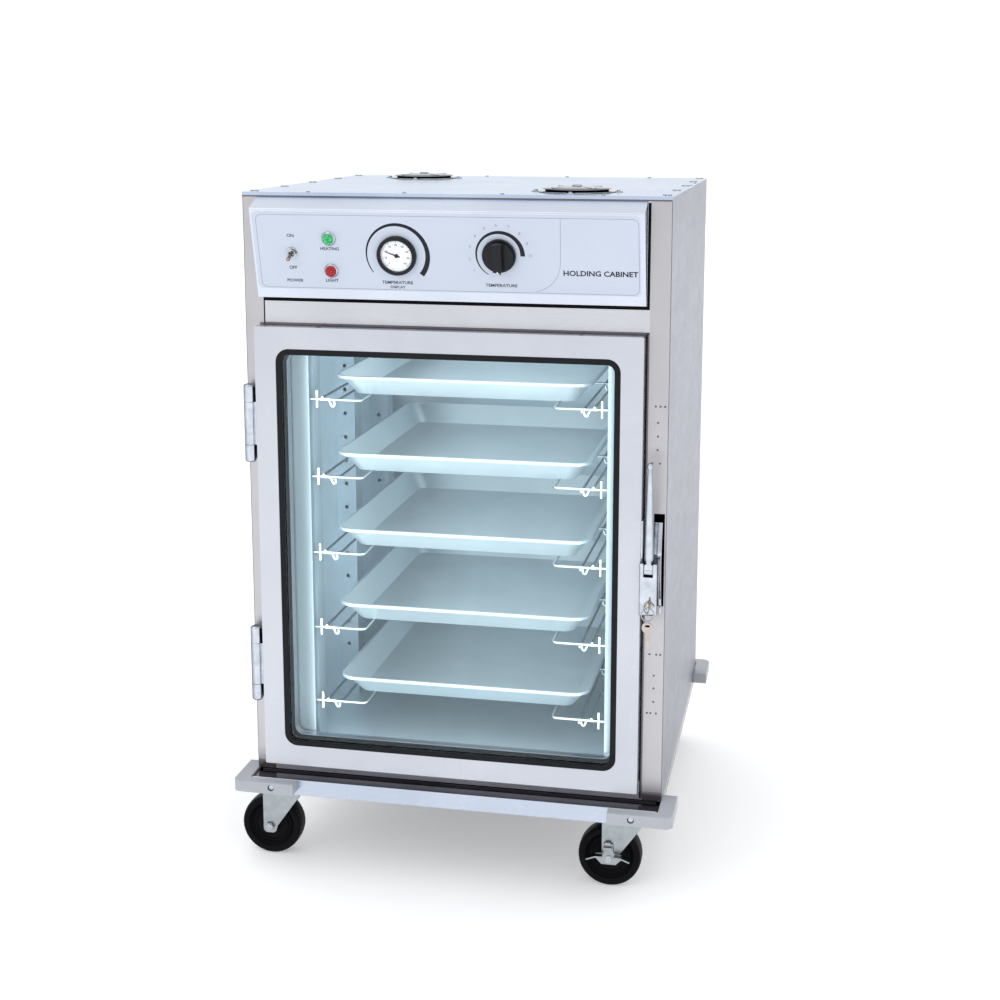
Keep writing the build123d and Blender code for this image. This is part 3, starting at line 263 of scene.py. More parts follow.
# Each look: name, its two colours, roughness from and to, then what its function lists.
M = {
    # The stainless sheets are one metal given different tones: the fascia paler, the fascia, rail and roof
    # bluer, the side sheets darker. These tones are painted light, copying how each face catches the light.
    "front": steel("stainless_front", (0.69, 0.71, 0.755), (0.62, 0.64, 0.69), (0.26, 0.38), ALONG_Z),
    "header": steel("stainless_header", (0.71, 0.715, 0.75), (0.64, 0.645, 0.68),
        (0.24, 0.36), ALONG_X),
    "fascia": steel("stainless_fascia", (0.75, 0.79, 0.86), (0.67, 0.71, 0.79), (0.24, 0.36), ALONG_X),
    "rail": steel("stainless_rail", (0.66, 0.71, 0.80), (0.58, 0.63, 0.72), (0.24, 0.36), ALONG_X),
    # The last two colours of the side sheets are their painted shade, at the foot and at the top.
    "side": steel("stainless_side", (0.64, 0.64, 0.665), (0.56, 0.56, 0.585),
        (0.30, 0.42), ALONG_Z, 0.12, 1.0, (0.41, 0.43, 0.49), (0.57, 0.60, 0.67)),
    "roof": steel("stainless_roof", (0.63, 0.73, 0.87), (0.54, 0.63, 0.76), (0.18, 0.30), ALONG_Y),
    # The base tray is stainless coloured near black: painted shade for the tray under the body.
    "tray": steel("stainless_tray_shade", (0.17, 0.165, 0.19), (0.10, 0.098, 0.115), (0.12, 0.22), ALONG_X),
    # A dark copy of the stainless: painted shade on the strips in the gaps and along the roof hem; the rivet
    # heads and the column feet use it too.
    "hem": steel("stainless_hem_shade", (0.28, 0.25, 0.27), (0.20, 0.17, 0.19), (0.24, 0.34), ALONG_X),
    "liner": steel("stainless_liner", (0.72, 0.80, 0.85), (0.65, 0.73, 0.78),
        (0.34, 0.46), ALONG_Z, 0.12, 0.5),
    "upright": steel("stainless_upright", (0.62, 0.71, 0.77), (0.55, 0.64, 0.70),
        (0.3, 0.42), ALONG_Z, 0.12, 0.7),
    "pan": steel("pan_aluminium", (0.78, 0.85, 0.88), (0.70, 0.77, 0.81),
        (0.30, 0.42), (900.0, 900.0, 900.0), 0.06, 0.7),
    # For chrome, wire and key the last number sets how dark the painted reflection rim goes; the other plated
    # metals keep 0.3.
    "chrome": bright("chrome_plate", (0.66, 0.70, 0.77), (0.48, 0.52, 0.58), (0.05, 0.14), 0.02, 0.12),
    "wire": bright("chrome_wire", (0.84, 0.90, 0.92), (0.72, 0.78, 0.80), (0.10, 0.22), 0.02, 0.45),
    "zinc": bright("zinc_plate", (0.46, 0.49, 0.51), (0.34, 0.37, 0.39), (0.26, 0.40), 0.10),
    "key": bright("nickel_key", (0.60, 0.57, 0.51), (0.46, 0.43, 0.38), (0.14, 0.26), 0.05, 0.4),
    "brass": bright("toggle_brass", (0.55, 0.44, 0.32), (0.40, 0.31, 0.22), (0.14, 0.26), 0.05),
    "bumper": plastic("bumper_plastic", (0.47, 0.49, 0.53), (0.42, 0.44, 0.48),
        (0.42, 0.55), 1100.0, 0.2, 0.3),
    "black": plastic("black_plastic", (0.006, 0.007, 0.010), (0.012, 0.013, 0.018),
        (0.22, 0.34), 1400.0, 0.1, 0.25),
    "rubber": plastic("black_rubber", (0.005, 0.006, 0.008), (0.010, 0.011, 0.014),
        (0.42, 0.58), 1300.0, 0.25, 0.18),
    "tyre": plastic("wheel_rubber", (0.003, 0.003, 0.004), (0.006, 0.006, 0.008),
        (0.34, 0.52), 900.0, 0.3, 0.06),
    "core": plastic("wheel_core", (0.002, 0.002, 0.003), (0.005, 0.005, 0.006),
        (0.4, 0.5), 1300.0, 0.25, 0.05),
    "overlay": plastic("printed_overlay", (0.60, 0.66, 0.77), (0.58, 0.64, 0.75),
        (0.30, 0.38), 2500.0, 0.04, 0.3),
    "ink": plastic("print_black", (0.010, 0.012, 0.022), (0.02, 0.022, 0.034),
        (0.4, 0.5), 2500.0, 0.04, 0.2),
    "line": plastic("print_grey", (0.30, 0.34, 0.42), (0.36, 0.40, 0.48),
        (0.4, 0.5), 2500.0, 0.04, 0.2),
    "white": plastic("dial_white", (0.80, 0.82, 0.83), (0.76, 0.78, 0.80),
        (0.35, 0.45), 2500.0, 0.03, 0.2),
    # Painted light: both lenses glow a little, the green more than the red.
    "green": lens("lens_green", (0.01, 0.20, 0.07), (0.10, 0.62, 0.24), 0.25),
    "red": lens("lens_red", (0.16, 0.004, 0.008), (0.55, 0.02, 0.03), 0.2),
    "glass": clear("door_glass", (0.955, 0.978, 0.98), (0.8, 0.85, 0.88)),
    "dial_glass": clear("dial_glass", (0.99, 0.995, 1.0), (0.35, 0.38, 0.4)),
    "print": plastic("dial_print", (0.05, 0.055, 0.08), (0.07, 0.075, 0.10),
        (0.4, 0.5), 2500.0, 0.03, 0.1),
    "wool": plastic("mineral_wool", (0.42, 0.36, 0.16), (0.50, 0.44, 0.22), (0.8, 0.95), 500.0, 0.9),
    # Near black, painted shade: it fills gaps, holes and recesses where there is only shade.
    "dark": plastic("painted_shade_black", (0.003, 0.003, 0.004), (0.007, 0.006, 0.007),
        (0.6, 0.8), 900.0, 0.2, 0.05),
    "bolt": bright("zinc_screw", (0.58, 0.60, 0.64), (0.40, 0.42, 0.46), (0.16, 0.30), 0.05),
}
# Painted light: the dial-white material glows a little, though it is no lamp, on the dial face and on the
# knob's line.
dial_glow = M["white"].node_tree.nodes["Principled BSDF"]
dial_glow.inputs["Emission Color"].default_value = (0.95, 0.97, 1.0, 1.0)
dial_glow.inputs["Emission Strength"].default_value = 0.32


# ---------------------------------------------------------------- mesh helpers
def finish_piece(name, mesh, body, look, smooth=35.0):
    """Make a piece of a mesh: its look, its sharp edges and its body."""
    mesh.materials.clear()
    mesh.materials.append(M[look])
    obj = bpy.data.objects.new(name, mesh)
    bpy.context.scene.collection.objects.link(obj)
    mesh.shade_smooth()
    mesh.set_sharp_from_angle(angle=math.radians(smooth))
    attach(obj, body)
    return obj


def from_bmesh(name, bm, body, look, smooth=35.0):
    bmesh.ops.recalc_face_normals(bm, faces=bm.faces)
    mesh = bpy.data.meshes.new(name)
    bm.to_mesh(mesh)
    bm.free()
    return finish_piece(name, mesh, body, look, smooth)


def applied(obj):
    """Bake the modifiers of a piece into its mesh."""
    graph = bpy.context.evaluated_depsgraph_get()
    mesh = bpy.data.meshes.new_from_object(obj.evaluated_get(graph))
    mesh.name = obj.name
    obj.modifiers.clear()
    obj.data = mesh


def softened(node, look, width, segments=2, angle=30.0):
    """A piece with a CAD node's shape and rolled or broken edges, which stands for it."""
    bm = bmesh.new()
    bm.from_mesh(nodes[node].data)
    bmesh.ops.remove_doubles(bm, verts=bm.verts, dist=1e-6)
    bmesh.ops.dissolve_limit(bm, angle_limit=math.radians(0.6), verts=bm.verts, edges=bm.edges)
    obj = from_bmesh(node + "_look", bm, body_of[node], look)
    bevel = obj.modifiers.new("edges", "BEVEL")
    bevel.width = width
    bevel.segments = segments
    bevel.limit_method = "ANGLE"
    bevel.angle_limit = math.radians(angle)
    bevel.use_clamp_overlap = True
    bevel.harden_normals = False
    normals = obj.modifiers.new("normals", "WEIGHTED_NORMAL")
    normals.keep_sharp = True
    applied(obj)
    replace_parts(obj, node)
    return obj


def keep(node, look):
    """Give a CAD node, shown as it is, its material."""
    data = nodes[node]
    for index in range(max(1, len(data.material_slots))):
        if not data.material_slots:
            data.data.materials.append(M[look])
        data.material_slots[index].material = M[look]


def mm(points):
    return [(x * MM, y * MM) for x, y in points]


def polygon(radius, corners=6):
    turns = [math.radians(360 / corners * i) for i in range(corners)]
    return [(radius * math.cos(t) * MM, radius * math.sin(t) * MM) for t in turns]


def basis(origin, x_dir, y_dir):
    """A place with its own x and y directions."""
    x_dir, y_dir = Vector(x_dir).normalized(), Vector(y_dir).normalized()
    z_dir = x_dir.cross(y_dir)
    rows = Matrix((x_dir, y_dir, z_dir)).transposed().to_4x4()
    return Matrix.Translation(origin) @ rows


def lathe(bm, profile, place, steps=48):
    """Turn a closed profile of (radius, height) about the place's z axis."""
    rings = []
    for i in range(steps):
        turn = 2 * math.pi * i / steps
        spots = [Vector((r * math.cos(turn), r * math.sin(turn), h)) for r, h in profile]
        rings.append([bm.verts.new(place @ spot) for spot in spots])
    for i in range(steps):
        a, b = rings[i], rings[(i + 1) % steps]
        for j in range(len(profile)):
            k = (j + 1) % len(profile)
            bm.faces.new((a[j], a[k], b[k], b[j]))


def prism(bm, outline, place, low, high):
    """Raise a flat outline between two heights of the place."""
    bottom = [bm.verts.new(place @ Vector((x, y, low))) for x, y in outline]
    top = [bm.verts.new(place @ Vector((x, y, high))) for x, y in outline]
    bm.faces.new(list(reversed(bottom)))
    bm.faces.new(top)
    for i in range(len(outline)):
        k = (i + 1) % len(outline)
        bm.faces.new((bottom[i], bottom[k], top[k], top[i]))


def band(bm, middle, widths, place, low, high, closed=False):
    """Raise a strip of changing width that follows a line."""
    count = len(middle)
    corners = []
    for i, (x, y) in enumerate(middle):
        ahead = middle[(i + 1) % count] if closed or i + 1 < count else middle[i]
        behind = middle[i - 1] if closed or i else middle[i]
        dx, dy = ahead[0] - behind[0], ahead[1] - behind[1]
        size = math.hypot(dx, dy) or 1.0
        nx, ny, half = -dy / size, dx / size, widths[i] / 2
        rim = [(x + nx * half, y + ny * half), (x - nx * half, y - ny * half)]
        corners.append([bm.verts.new(place @ Vector((*p, h))) for h in (low, high) for p in rim])
    for i in range(count if closed else count - 1):
        a, b = corners[i], corners[(i + 1) % count]
        for p, q in ((0, 1), (1, 3), (3, 2), (2, 0)):
            bm.faces.new((a[p], a[q], b[q], b[p]))
    if not closed:
        for a in (corners[0], corners[-1]):
            bm.faces.new((a[0], a[1], a[3], a[2]))


def arc(centre, radius, start, end, steps):
    """Points along an arc, angles in degrees."""
    turns = [math.radians(start + (end - start) * i / steps) for i in range(steps + 1)]
    return [(centre[0] + radius * math.cos(t), centre[1] + radius * math.sin(t)) for t in turns]


def rounded(x0, y0, x1, y1, radius, steps=8):
    """The outline of a rectangle with round corners."""
    corners = (((x1 - radius, y1 - radius), 0), ((x0 + radius, y1 - radius), 90))
    corners += (((x0 + radius, y0 + radius), 180), ((x1 - radius, y0 + radius), 270))
    outline = []
    for centre, start in corners:
        outline += arc(centre, radius, start, start + 90, steps)
    return outline


def lettering(bm, words, size, place, at, wide=1.0, thick=0.0):
    """Raise a line of letters, centred at a spot of the place."""
    curve = bpy.data.curves.new("letters", "FONT")
    curve.body = words
    curve.size = size
    curve.align_x = "CENTER"
    curve.align_y = "CENTER"
    curve.extrude = 0.00005
    curve.offset = thick
    curve.resolution_u = 3
    holder = bpy.data.objects.new("letters", curve)
    bpy.context.scene.collection.objects.link(holder)
    graph = bpy.context.evaluated_depsgraph_get()
    mesh = bpy.data.meshes.new_from_object(holder.evaluated_get(graph))
    mesh.transform(place @ Matrix.Translation((*at, 0.00012)) @ Matrix.Diagonal((wide, 1, 1, 1)))
    bm.from_mesh(mesh)
    bpy.data.objects.remove(holder)
    bpy.data.meshes.remove(mesh)
    bpy.data.curves.remove(curve)


# ---------------------------------------------------------------- the control face as a frame of its own
knob_at = Vector(joints["thermostat_turn"]["pos_m"])
face_out = -Vector(joints["thermostat_turn"]["axis"]).normalized()
face_right = Vector((1.0, 0.0, 0.0))
face_up = face_out.cross(face_right)
face_origin = knob_at - face_right * KNOB[0] * MM - face_up * KNOB[1] * MM - face_out * 0.008
face = basis(face_origin, face_right, face_up)
overlay = face @ Matrix.Translation((0, 0, 0.0005))


def on_face(u, v, w=0.0):
    """A place on the control face, in mm."""
    return face @ Matrix.Translation((u * MM, v * MM, w * MM))


# ---------------------------------------------------------------- shell
KEPT = {
    "side": ("left_side_panel", "right_side_panel", "back_panel"),
    "header": ("front_rails",),
    "liner": ("inner_liner", "vent_ducts"),
    "wool": ("insulation",),
    # The strike box is near black: painted shade in its pocket.
    "dark": ("strike_box",),
    "zinc": ("heating_element",),
    "black": ("thermostat", "power_entry", "thermometer_case"),
    "rubber": ("glass_gasket", "door_seal"),
    "glass": ("door_glass",),
    "overlay": ("control_overlay",),
    "wire": ("left_wire_slides", "right_wire_slides"),
    "key": ("lock_cylinder",),
    "bolt": ("cabinet_screws",),
    "brass": ("toggle_lever",),
    "white": ("thermometer_dial",),
    "dial_glass": ("thermometer_glass",),
}
for look, names in KEPT.items():
    for name in names:
        keep(name, look)
softened("roof_cover", "roof", 0.0007)
softened("control_panel", "fascia", 0.0012, 3)
softened("door_frame", "front", 0.0008)
softened("door_inner_frame", "front", 0.0006)
# The base tray in its near-black colour: painted shade.
softened("base_tray", "tray", 0.0005)
softened("bumper_rails", "rail", 0.0005)
softened("slide_uprights", "upright", 0.0002, 1)
softened("corner_bumpers", "bumper", 0.0022, 4)
for level in range(1, 6):
    softened(f"pan_{level}", "pan", 0.0006, 2, 40)
for name in ("hinge_frame_leaves", "hinge_door_leaves", "latch_body", "strike_plate"):
    softened(name, "chrome", 0.0006)
softened("thermostat_knob", "black", 0.0006, 3)
softened("caster_plates", "zinc", 0.0006)
softened("brake_pedal", "zinc", 0.0005)
CORNERS = ("front_left", "front_right", "rear_left", "rear_right")
for corner in CORNERS:
    softened(corner + "_caster_fork", "zinc", 0.0006)

# ---------------------------------------------------------------- printing on the control face
print_bm = bmesh.new()
thin_bm = bmesh.new()
INK = (0.00005, 0.00012)                 # bottom and top of the raised print
outline = mm(rounded(-282, -52, 282, 60, 9))
band(thin_bm, outline, [0.0007] * len(outline), overlay, *INK, closed=True)
divide = mm([(171, 60), (170, 20), (169, -10)] + arc((124, -6), 45, -6, -78, 12))
band(thin_bm, divide, [0.0007] * len(divide), overlay, *INK)
SWEEP = 60                               # steps of the two widening arcs
sweep = mm(arc((-71, 1.2), 46, 216, -40, SWEEP))
band(print_bm, sweep, [0.0012 + 0.0066 * i / SWEEP for i in range(SWEEP + 1)], overlay, *INK)
sweep = mm(arc(KNOB, 34, 240, -2, SWEEP))
band(print_bm, sweep, [0.0010 + 0.0058 * i / SWEEP for i in range(SWEEP + 1)], overlay, *INK)
mark = mm([(KNOB[0], KNOB[1] - 25.5), (KNOB[0] - 1.6, KNOB[1] - 29.5), (KNOB[0] + 1.6, KNOB[1] - 29.5)])
prism(print_bm, mark, overlay, *INK)
for words, size, at, wide in (
    ("ON", 7, (-231, 28), 1.0), ("OFF", 7, (-231, -21), 1.0), ("POWER", 6.5, (-230, -41), 1.1),
    ("HEATING", 6.5, (-172.4, 8.8), 1.05), ("LIGHT", 6.5, (-172.8, -39.8), 1.1),
    ("TEMPERATURE", 6.5, (-73, -41), 1.1), ("DISPLAY", 5.5, (-73, -48), 1.1),
    ("TEMPERATURE", 6.5, (82, -42), 1.1),
):
    lettering(print_bm, words, size * MM, overlay, (at[0] * MM, at[1] * MM), wide, 0.00007)
for step in range(10):
    turn = math.radians(212 - step * 23.6)
    at = ((KNOB[0] + 44.5 * math.cos(turn)) * MM, (KNOB[1] + 44.5 * math.sin(turn)) * MM)
    lettering(thin_bm, str(step + 1), 0.0065, overlay, at, 1.0, 0.00003)
lettering(print_bm, "HOLDING CABINET", 0.0108, overlay, (0.2265, -0.0215), 1.12, 0.00022)
from_bmesh("panel_print", print_bm, "cabinet", "ink")
from_bmesh("panel_lines", thin_bm, "cabinet", "line")

# ---------------------------------------------------------------- control fittings
bm = bmesh.new()
for v in (LAMP_Y, -LAMP_Y):
    ring = [(7.2, 0.5), (10.4, 0.5), (10.6, 1.4), (9.9, 2.6), (9.0, 3.3), (8.0, 3.5), (7.2, 2.6)]
    lathe(bm, mm(ring), on_face(LAMP_X, v))
prism(bm, polygon(8.6), on_face(*SWITCH), 0.0005, 0.0024)
collar = [(3.4, 0.5), (6.0, 0.5), (6.0, 4.6), (5.2, 5.2), (3.9, 4.9), (3.4, 3.6)]
lathe(bm, mm(collar), on_face(*SWITCH), 36)
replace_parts(from_bmesh("lamp_rings", bm, "cabinet", "chrome"), "control_bezels")
dome = [(0.2, -4), (7.1, -4), (7.1, 2.2), (8.3, 2.8), (8.5, 4.4), (7.6, 6.2), (5.4, 7.6), (2.6, 8.3)]
dome += [(0.2, 8.4)]
for node, look, slot, v in (
    ("heating_lamp_lens", "green", "green_lens", LAMP_Y), ("light_lamp_lens", "red", "red_lens", -LAMP_Y),
):
    bm = bmesh.new()
    lathe(bm, mm(dome), on_face(LAMP_X, v))
    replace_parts(from_bmesh(node + "_dome", bm, "cabinet", look, 50.0), node)

dial = on_face(*DIAL, 3.3)
DIAL_INK = (0.00002, 0.00008)


def turned_by(turn, spots):
    """Points given along and across a direction of the dial, in mm."""
    along = Vector((math.cos(turn), math.sin(turn)))
    across = Vector((-math.sin(turn), math.cos(turn)))
    return [tuple((along * u + across * v) * MM) for u, v in spots]


ticks = bmesh.new()
for step in range(41):
    turn = math.radians(225 - 270 * step / 40)
    inner, half = (19.6, 0.30) if step % 5 == 0 else (20.8, 0.16)
    spots = [(inner, half), (22.4, half), (22.4, -half), (inner, -half)]
    prism(ticks, turned_by(turn, reversed(spots)), dial, *DIAL_INK)
for step in range(9):
    turn = math.radians(225 - 270 * step / 8)
    at = (0.0164 * math.cos(turn), 0.0164 * math.sin(turn))
    lettering(ticks, str(step * 20), 0.0042, dial, at, 0.9, 0.00003)
lettering(ticks, "C", 0.0034, dial, (0.0, -0.0085), 1.0, 0.0)
ring = arc((0, 0), 0.0226, 225, -45, 90)
band(ticks, ring, [0.0003] * len(ring), dial, *DIAL_INK)
from_bmesh("dial_marks", ticks, "cabinet", "print")
bm = bmesh.new()
hand = [(-5.2, 1.1), (-5.2, -1.1), (14.0, -0.55), (18.8, 0), (14.0, 0.55)]
prism(bm, turned_by(math.radians(160), hand), on_face(*DIAL), 0.0040, 0.0045)
boss = [(0.2, 3.9), (3.0, 3.9), (3.0, 4.6), (2.2, 5.0), (0.2, 5.1)]
lathe(bm, mm(boss), on_face(*DIAL), 28)
hand = from_bmesh("pointer", bm, "thermometer_needle", "ink")
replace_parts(hand, "thermometer_needle")

bm = bmesh.new()
prism(bm, mm(rounded(-0.8, -21.5, 0.8, -18.6, 0.7, 3)), on_face(*KNOB), 0.0150, 0.0206)
from_bmesh("knob_line", bm, "thermostat_knob", "white")
bm = bmesh.new()
RIBS = 36
for i in range(RIBS):
    turn = 2 * math.pi * i / RIBS
    spot = on_face(*KNOB) @ Matrix.Rotation(turn, 4, "Z") @ Matrix.Translation((0.0243, 0, 0))
    prism(bm, mm(rounded(-0.7, -0.8, 0.5, 0.8, 0.4, 2)), spot, 0.0019, 0.0060)
from_bmesh("knob_ribs", bm, "thermostat_knob", "black")

# ---------------------------------------------------------------- painted shadow strips in the shell's gaps, and small fixings of the shell
panel_low, panel_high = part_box("control_panel")
side_low, side_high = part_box("right_side_panel")
door_low, door_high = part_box("door_frame")
front_y, base_z, top_z = side_low[1], side_low[2], side_high[2]


def strip(name, look, low, high):
    """A thin bar with rounded long edges between two corners, on the cabinet."""
    bm = bmesh.new()
    (x0, y0, z0), (x1, y1, z1) = low, high
    spans = sorted(((x1 - x0, 0), (y1 - y0, 1), (z1 - z0, 2)))
    size = Vector((x1 - x0, y1 - y0, z1 - z0))
    middle = (Vector(low) + Vector(high)) / 2
    axis = spans[2][1]
    frames = {0: ((0, 1, 0), (0, 0, 1)), 1: ((0, 0, 1), (1, 0, 0)), 2: ((1, 0, 0), (0, 1, 0))}
    place = basis(middle, *frames[axis])
    wide = {0: (size.y, size.z), 1: (size.z, size.x), 2: (size.x, size.y)}[axis]
    radius = min(0.0002, min(wide) * 0.45)
    outline = rounded(-wide[0] / 2, -wide[1] / 2, wide[0] / 2, wide[1] / 2, radius, 3)
    prism(bm, outline, place, -size[axis] / 2, size[axis] / 2)
    from_bmesh(name, bm, "cabinet", look)


# Name, look, slot, span in x, outer and inner distance in front of the front sheet, span in z.
# Painted shade: most of these strips are dark stand-ins for shade, in the gaps under and at the end of the
# fascia, beside and over the door, under the body and along the roof hem, and as a dark line down the rounded
# front corner of each side sheet; one strip in the tray's near-black colour fills the slot under the front
# sheet. The two foot strips are darker bands across the foot of each column.
SEAMS = (
    ("fascia_shadow", "dark", "black_plastic", (panel_low[0] + 0.008, panel_high[0] + 0.003),
     (0.0012, 0.0002), (panel_low[2] - 0.0055, panel_low[2] - 0.0002)),
    ("fascia_end_gap", "dark", "black_plastic", (panel_high[0] + 0.0006, panel_high[0] + 0.0046),
     (0.0010, 0.0002), (panel_low[2] - 0.0055, top_z - 0.008)),
    ("door_gap", "dark", "black_plastic", (door_high[0] + 0.0008, door_high[0] + 0.0024),
     (0.0008, 0.0002), (base_z + 0.002, door_high[2] + 0.001)),
    ("door_gap_return", "hem", "brushed_stainless", (door_high[0] + 0.0024, door_high[0] + 0.0049),
     (0.0006, 0.0002), (base_z + 0.002, door_high[2] + 0.001)),
    ("header_gap", "hem", "black_plastic", (door_low[0] + 0.002, door_high[0]),
     (0.0008, 0.0002), (door_high[2] + 0.0004, door_high[2] + 0.0034)),
    ("header_left_gap", "dark", "black_plastic", (-0.2905, -0.2889),
     (0.0008, 0.0002), (door_high[2], panel_low[2])),
    ("sill_shadow", "dark", "black_plastic", (-0.313, 0.313),
     (0.0004, -0.0004), (base_z - 0.0014, base_z + 0.0002)),
    ("plinth_front", "tray", "base_stainless", (-0.312, 0.312),
     (-0.0002, -0.0012), (base_z - 0.0041, base_z - 0.0012)),
    ("roof_seam", "hem", "brushed_stainless", (-0.3195, 0.3195),
     (0.0019, 0.0013), (top_z - 0.0056, top_z - 0.0034)),
    ("corner_seam_right", "hem", "brushed_stainless", (0.3189, 0.3196),
     (0.0004, -0.0004), (base_z + 0.003, top_z - 0.006)),
    ("corner_seam_left", "hem", "brushed_stainless", (-0.3196, -0.3189),
     (0.0004, -0.0004), (base_z + 0.003, top_z - 0.006)),
    ("foot_right", "hem", "brushed_stainless", (0.2903, 0.3187),
     (0.0004, 0.0001), (base_z + 0.0005, base_z + 0.0135)),
    ("foot_left", "hem", "brushed_stainless", (-0.3187, -0.2903),
     (0.0004, 0.0001), (base_z + 0.0005, base_z + 0.0135)),
)
for name, look, slot, (x0, x1), (out, back), (z0, z1) in SEAMS:
    strip(name, look, (x0, front_y - out, z0), (x1, front_y - back, z1))

bm = bmesh.new()
dots = [(300.7, 605), (307.7, 605), (314.2, 605), (304.5, 581), (304.6, 561), (304.4, 541)]
dots += [(297, 521), (308.3, 521)]
dots += [(297.8, 231), (307.9, 231), (314, 231), (304.8, 198), (304.8, 178), (304.9, 157)]
dots += [(295.5, 139), (300.8, 139), (309, 139)]
head = [(0.2, -0.6), (1.7, -0.6), (1.6, 0.2), (1.1, 0.6), (0.2, 0.7)]
for x, z in dots:
    place = basis((x * MM, front_y, base_z + z * MM), (1, 0, 0), (0, 0, 1))
    lathe(bm, mm(head), place, 16)
from_bmesh("column_rivets", bm, "cabinet", "hem")
bm = bmesh.new()
head = [(0.2, -0.4), (3.2, -0.4), (3.0, 0.8), (1.8, 1.6), (0.2, 1.8)]
for x in (-0.201, 0.193):
    place = basis((x, door_low[1] + 0.009, door_high[2]), (1, 0, 0), (0, 1, 0))
    lathe(bm, mm(head), place, 20)
from_bmesh("door_rivets", bm, "door", "hem")

# ---------------------------------------------------------------- painted shade in the bumper seats, latch lever, spare key
bm = bmesh.new()
bumper_low, bumper_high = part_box("corner_bumpers")
# Painted shade: dark rings inside the screw seats of the corner bumpers.
seat = [(4.0, -0.3), (5.1, -0.3), (5.1, 1.6), (4.8, 1.8), (4.0, 0.2)]
for x in (-0.280, 0.280):
    for y, way in ((bumper_low[1], 1), (bumper_high[1], -1)):
        place = basis((x, y + way * 0.0046, base_z - 0.0085), (1, 0, 0), (0, 0, way))
        lathe(bm, mm(seat), place, 28)
from_bmesh("bumper_seat_shade", bm, "cabinet", "dark")

pivot = Vector(joints["latch_lever_pivot"]["pos_m"])
lever_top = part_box("latch_lever")[1][2]
tip = Vector((pivot.x, pivot.y - 0.004, lever_top - 0.0045))
axis = (tip - pivot).normalized()
bar = basis(pivot, (1, 0, 0), axis.cross(Vector((1, 0, 0))))
long = (tip - pivot).length
BALL = 0.0042                            # radius of the ball at the lever's end
bm = bmesh.new()
outline = mm([(0.2, 6), (5.0, 6), (6.4, 10), (6.6, 22), (6.2, 45)])
outline += [(0.0036, long - 0.012), (0.0030, long - 0.008), (0.0032, long - 0.0055), (BALL, long - 0.0035)]
outline += [(BALL * math.cos(t), long + BALL * math.sin(t)) for t in (0.0, 0.4, 0.8, 1.2)]
outline += [(0.0002, long + BALL)]
lathe(bm, outline, bar, 40)
hub = [(2.7, -6.6), (6.4, -6.6), (7.0, -6.0), (7.0, 6.0), (6.4, 6.6), (2.7, 6.6)]
lathe(bm, mm(hub), basis(pivot, (0, 1, 0), (0, 0, 1)), 36)
foot = [(-6, -4), (6, -4), (6, 9), (0, 13.5), (-6, 9)]
prism(bm, mm(foot), basis(pivot, (1, 0, 0), (0, 0, 1)), -0.0045, 0.0062)
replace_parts(from_bmesh("lever_bar", bm, "latch_lever", "chrome"), "latch_lever")

key_low, key_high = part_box("spare_key")
x, y = (key_low[0] + key_high[0]) / 2, Vector(joints["spare_key_swing"]["pos_m"]).y
flat = basis((x, y, key_low[2]), (1, 0, 0), (0, 0, 1))
bm = bmesh.new()
shape = [(-7.4, 27.5), (-8.6, 32), (-7.4, 37), (-3.6, 39.6), (2.6, 39.6), (6.6, 37), (8.2, 32)]
shape += [(6.6, 26.5), (3.4, 23.4), (3.3, 5.0), (2.2, 2.6), (0.4, 1.2), (-1.8, 1.2), (-2.4, 4.4)]
shape += [(-1.2, 5.8), (-2.8, 8.6), (-1.6, 10.4), (-3.0, 13.4), (-1.8, 15.2), (-3.2, 18.2), (-3.2, 23.4)]
prism(bm, mm(reversed(shape)), flat, -0.0009, 0.0009)
hanging = from_bmesh("key_blade", bm, "spare_key", "key")
# Painted shade: a dark patch a little thicker than the blade stands for the key's eye; the blade itself has no
# hole.
bm = bmesh.new()
hole = [(-3.4, 33.2), (3.0, 33.2), (3.4, 34.6), (2.6, 36.4), (-2.8, 36.4), (-3.6, 34.6)]
prism(bm, mm(hole), flat, -0.00105, 0.00105)
from_bmesh("key_eye_shade", bm, "spare_key", "dark")
bm = bmesh.new()
RING, RING_WIRE = 0.0095, 0.0009         # radius of the key ring and of its wire
centre = Vector((x, y, key_high[2] - RING_WIRE - RING))
level_dir = Vector((math.cos(RING_TURN), math.sin(RING_TURN), 0))
wire_side = Vector((-math.sin(RING_TURN), math.cos(RING_TURN), 0))
STEPS, SIDES = 40, 8
rings = []
for i in range(STEPS):
    turn = 2 * math.pi * i / STEPS
    out = level_dir * math.cos(turn) + Vector((0, 0, 1)) * math.sin(turn)
    around = [2 * math.pi * k / SIDES for k in range(SIDES)]
    spots = [
        centre + out * (RING + RING_WIRE * math.cos(a)) + wire_side * RING_WIRE * math.sin(a) for a in around
    ]
    rings.append([bm.verts.new(spot) for spot in spots])
for i in range(STEPS):
    a, b = rings[i], rings[(i + 1) % STEPS]
    for k in range(SIDES):
        bm.faces.new((a[k], a[(k + 1) % SIDES], b[(k + 1) % SIDES], b[k]))
from_bmesh("key_ring", bm, "spare_key", "bolt")
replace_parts(hanging, "spare_key")

# ---------------------------------------------------------------- roof vents
# Turned outlines in mm: radius, height over the roof sheet.
FLANGE = ((4.2, 0.1), (58, 0.1), (59, 0.5), (58.4, 1.3), (55, 1.8), (46, 1.9), (44, 1.2), (4.2, 1.2))
POST = ((0.2, 1.0), (3.9, 1.0), (3.9, 7.2), (3.2, 7.5), (0.2, 7.5))
LUG_SCREW = ((0.2, 1.5), (3.1, 1.5), (3.0, 2.4), (2.0, 3.1), (0.2, 3.4))
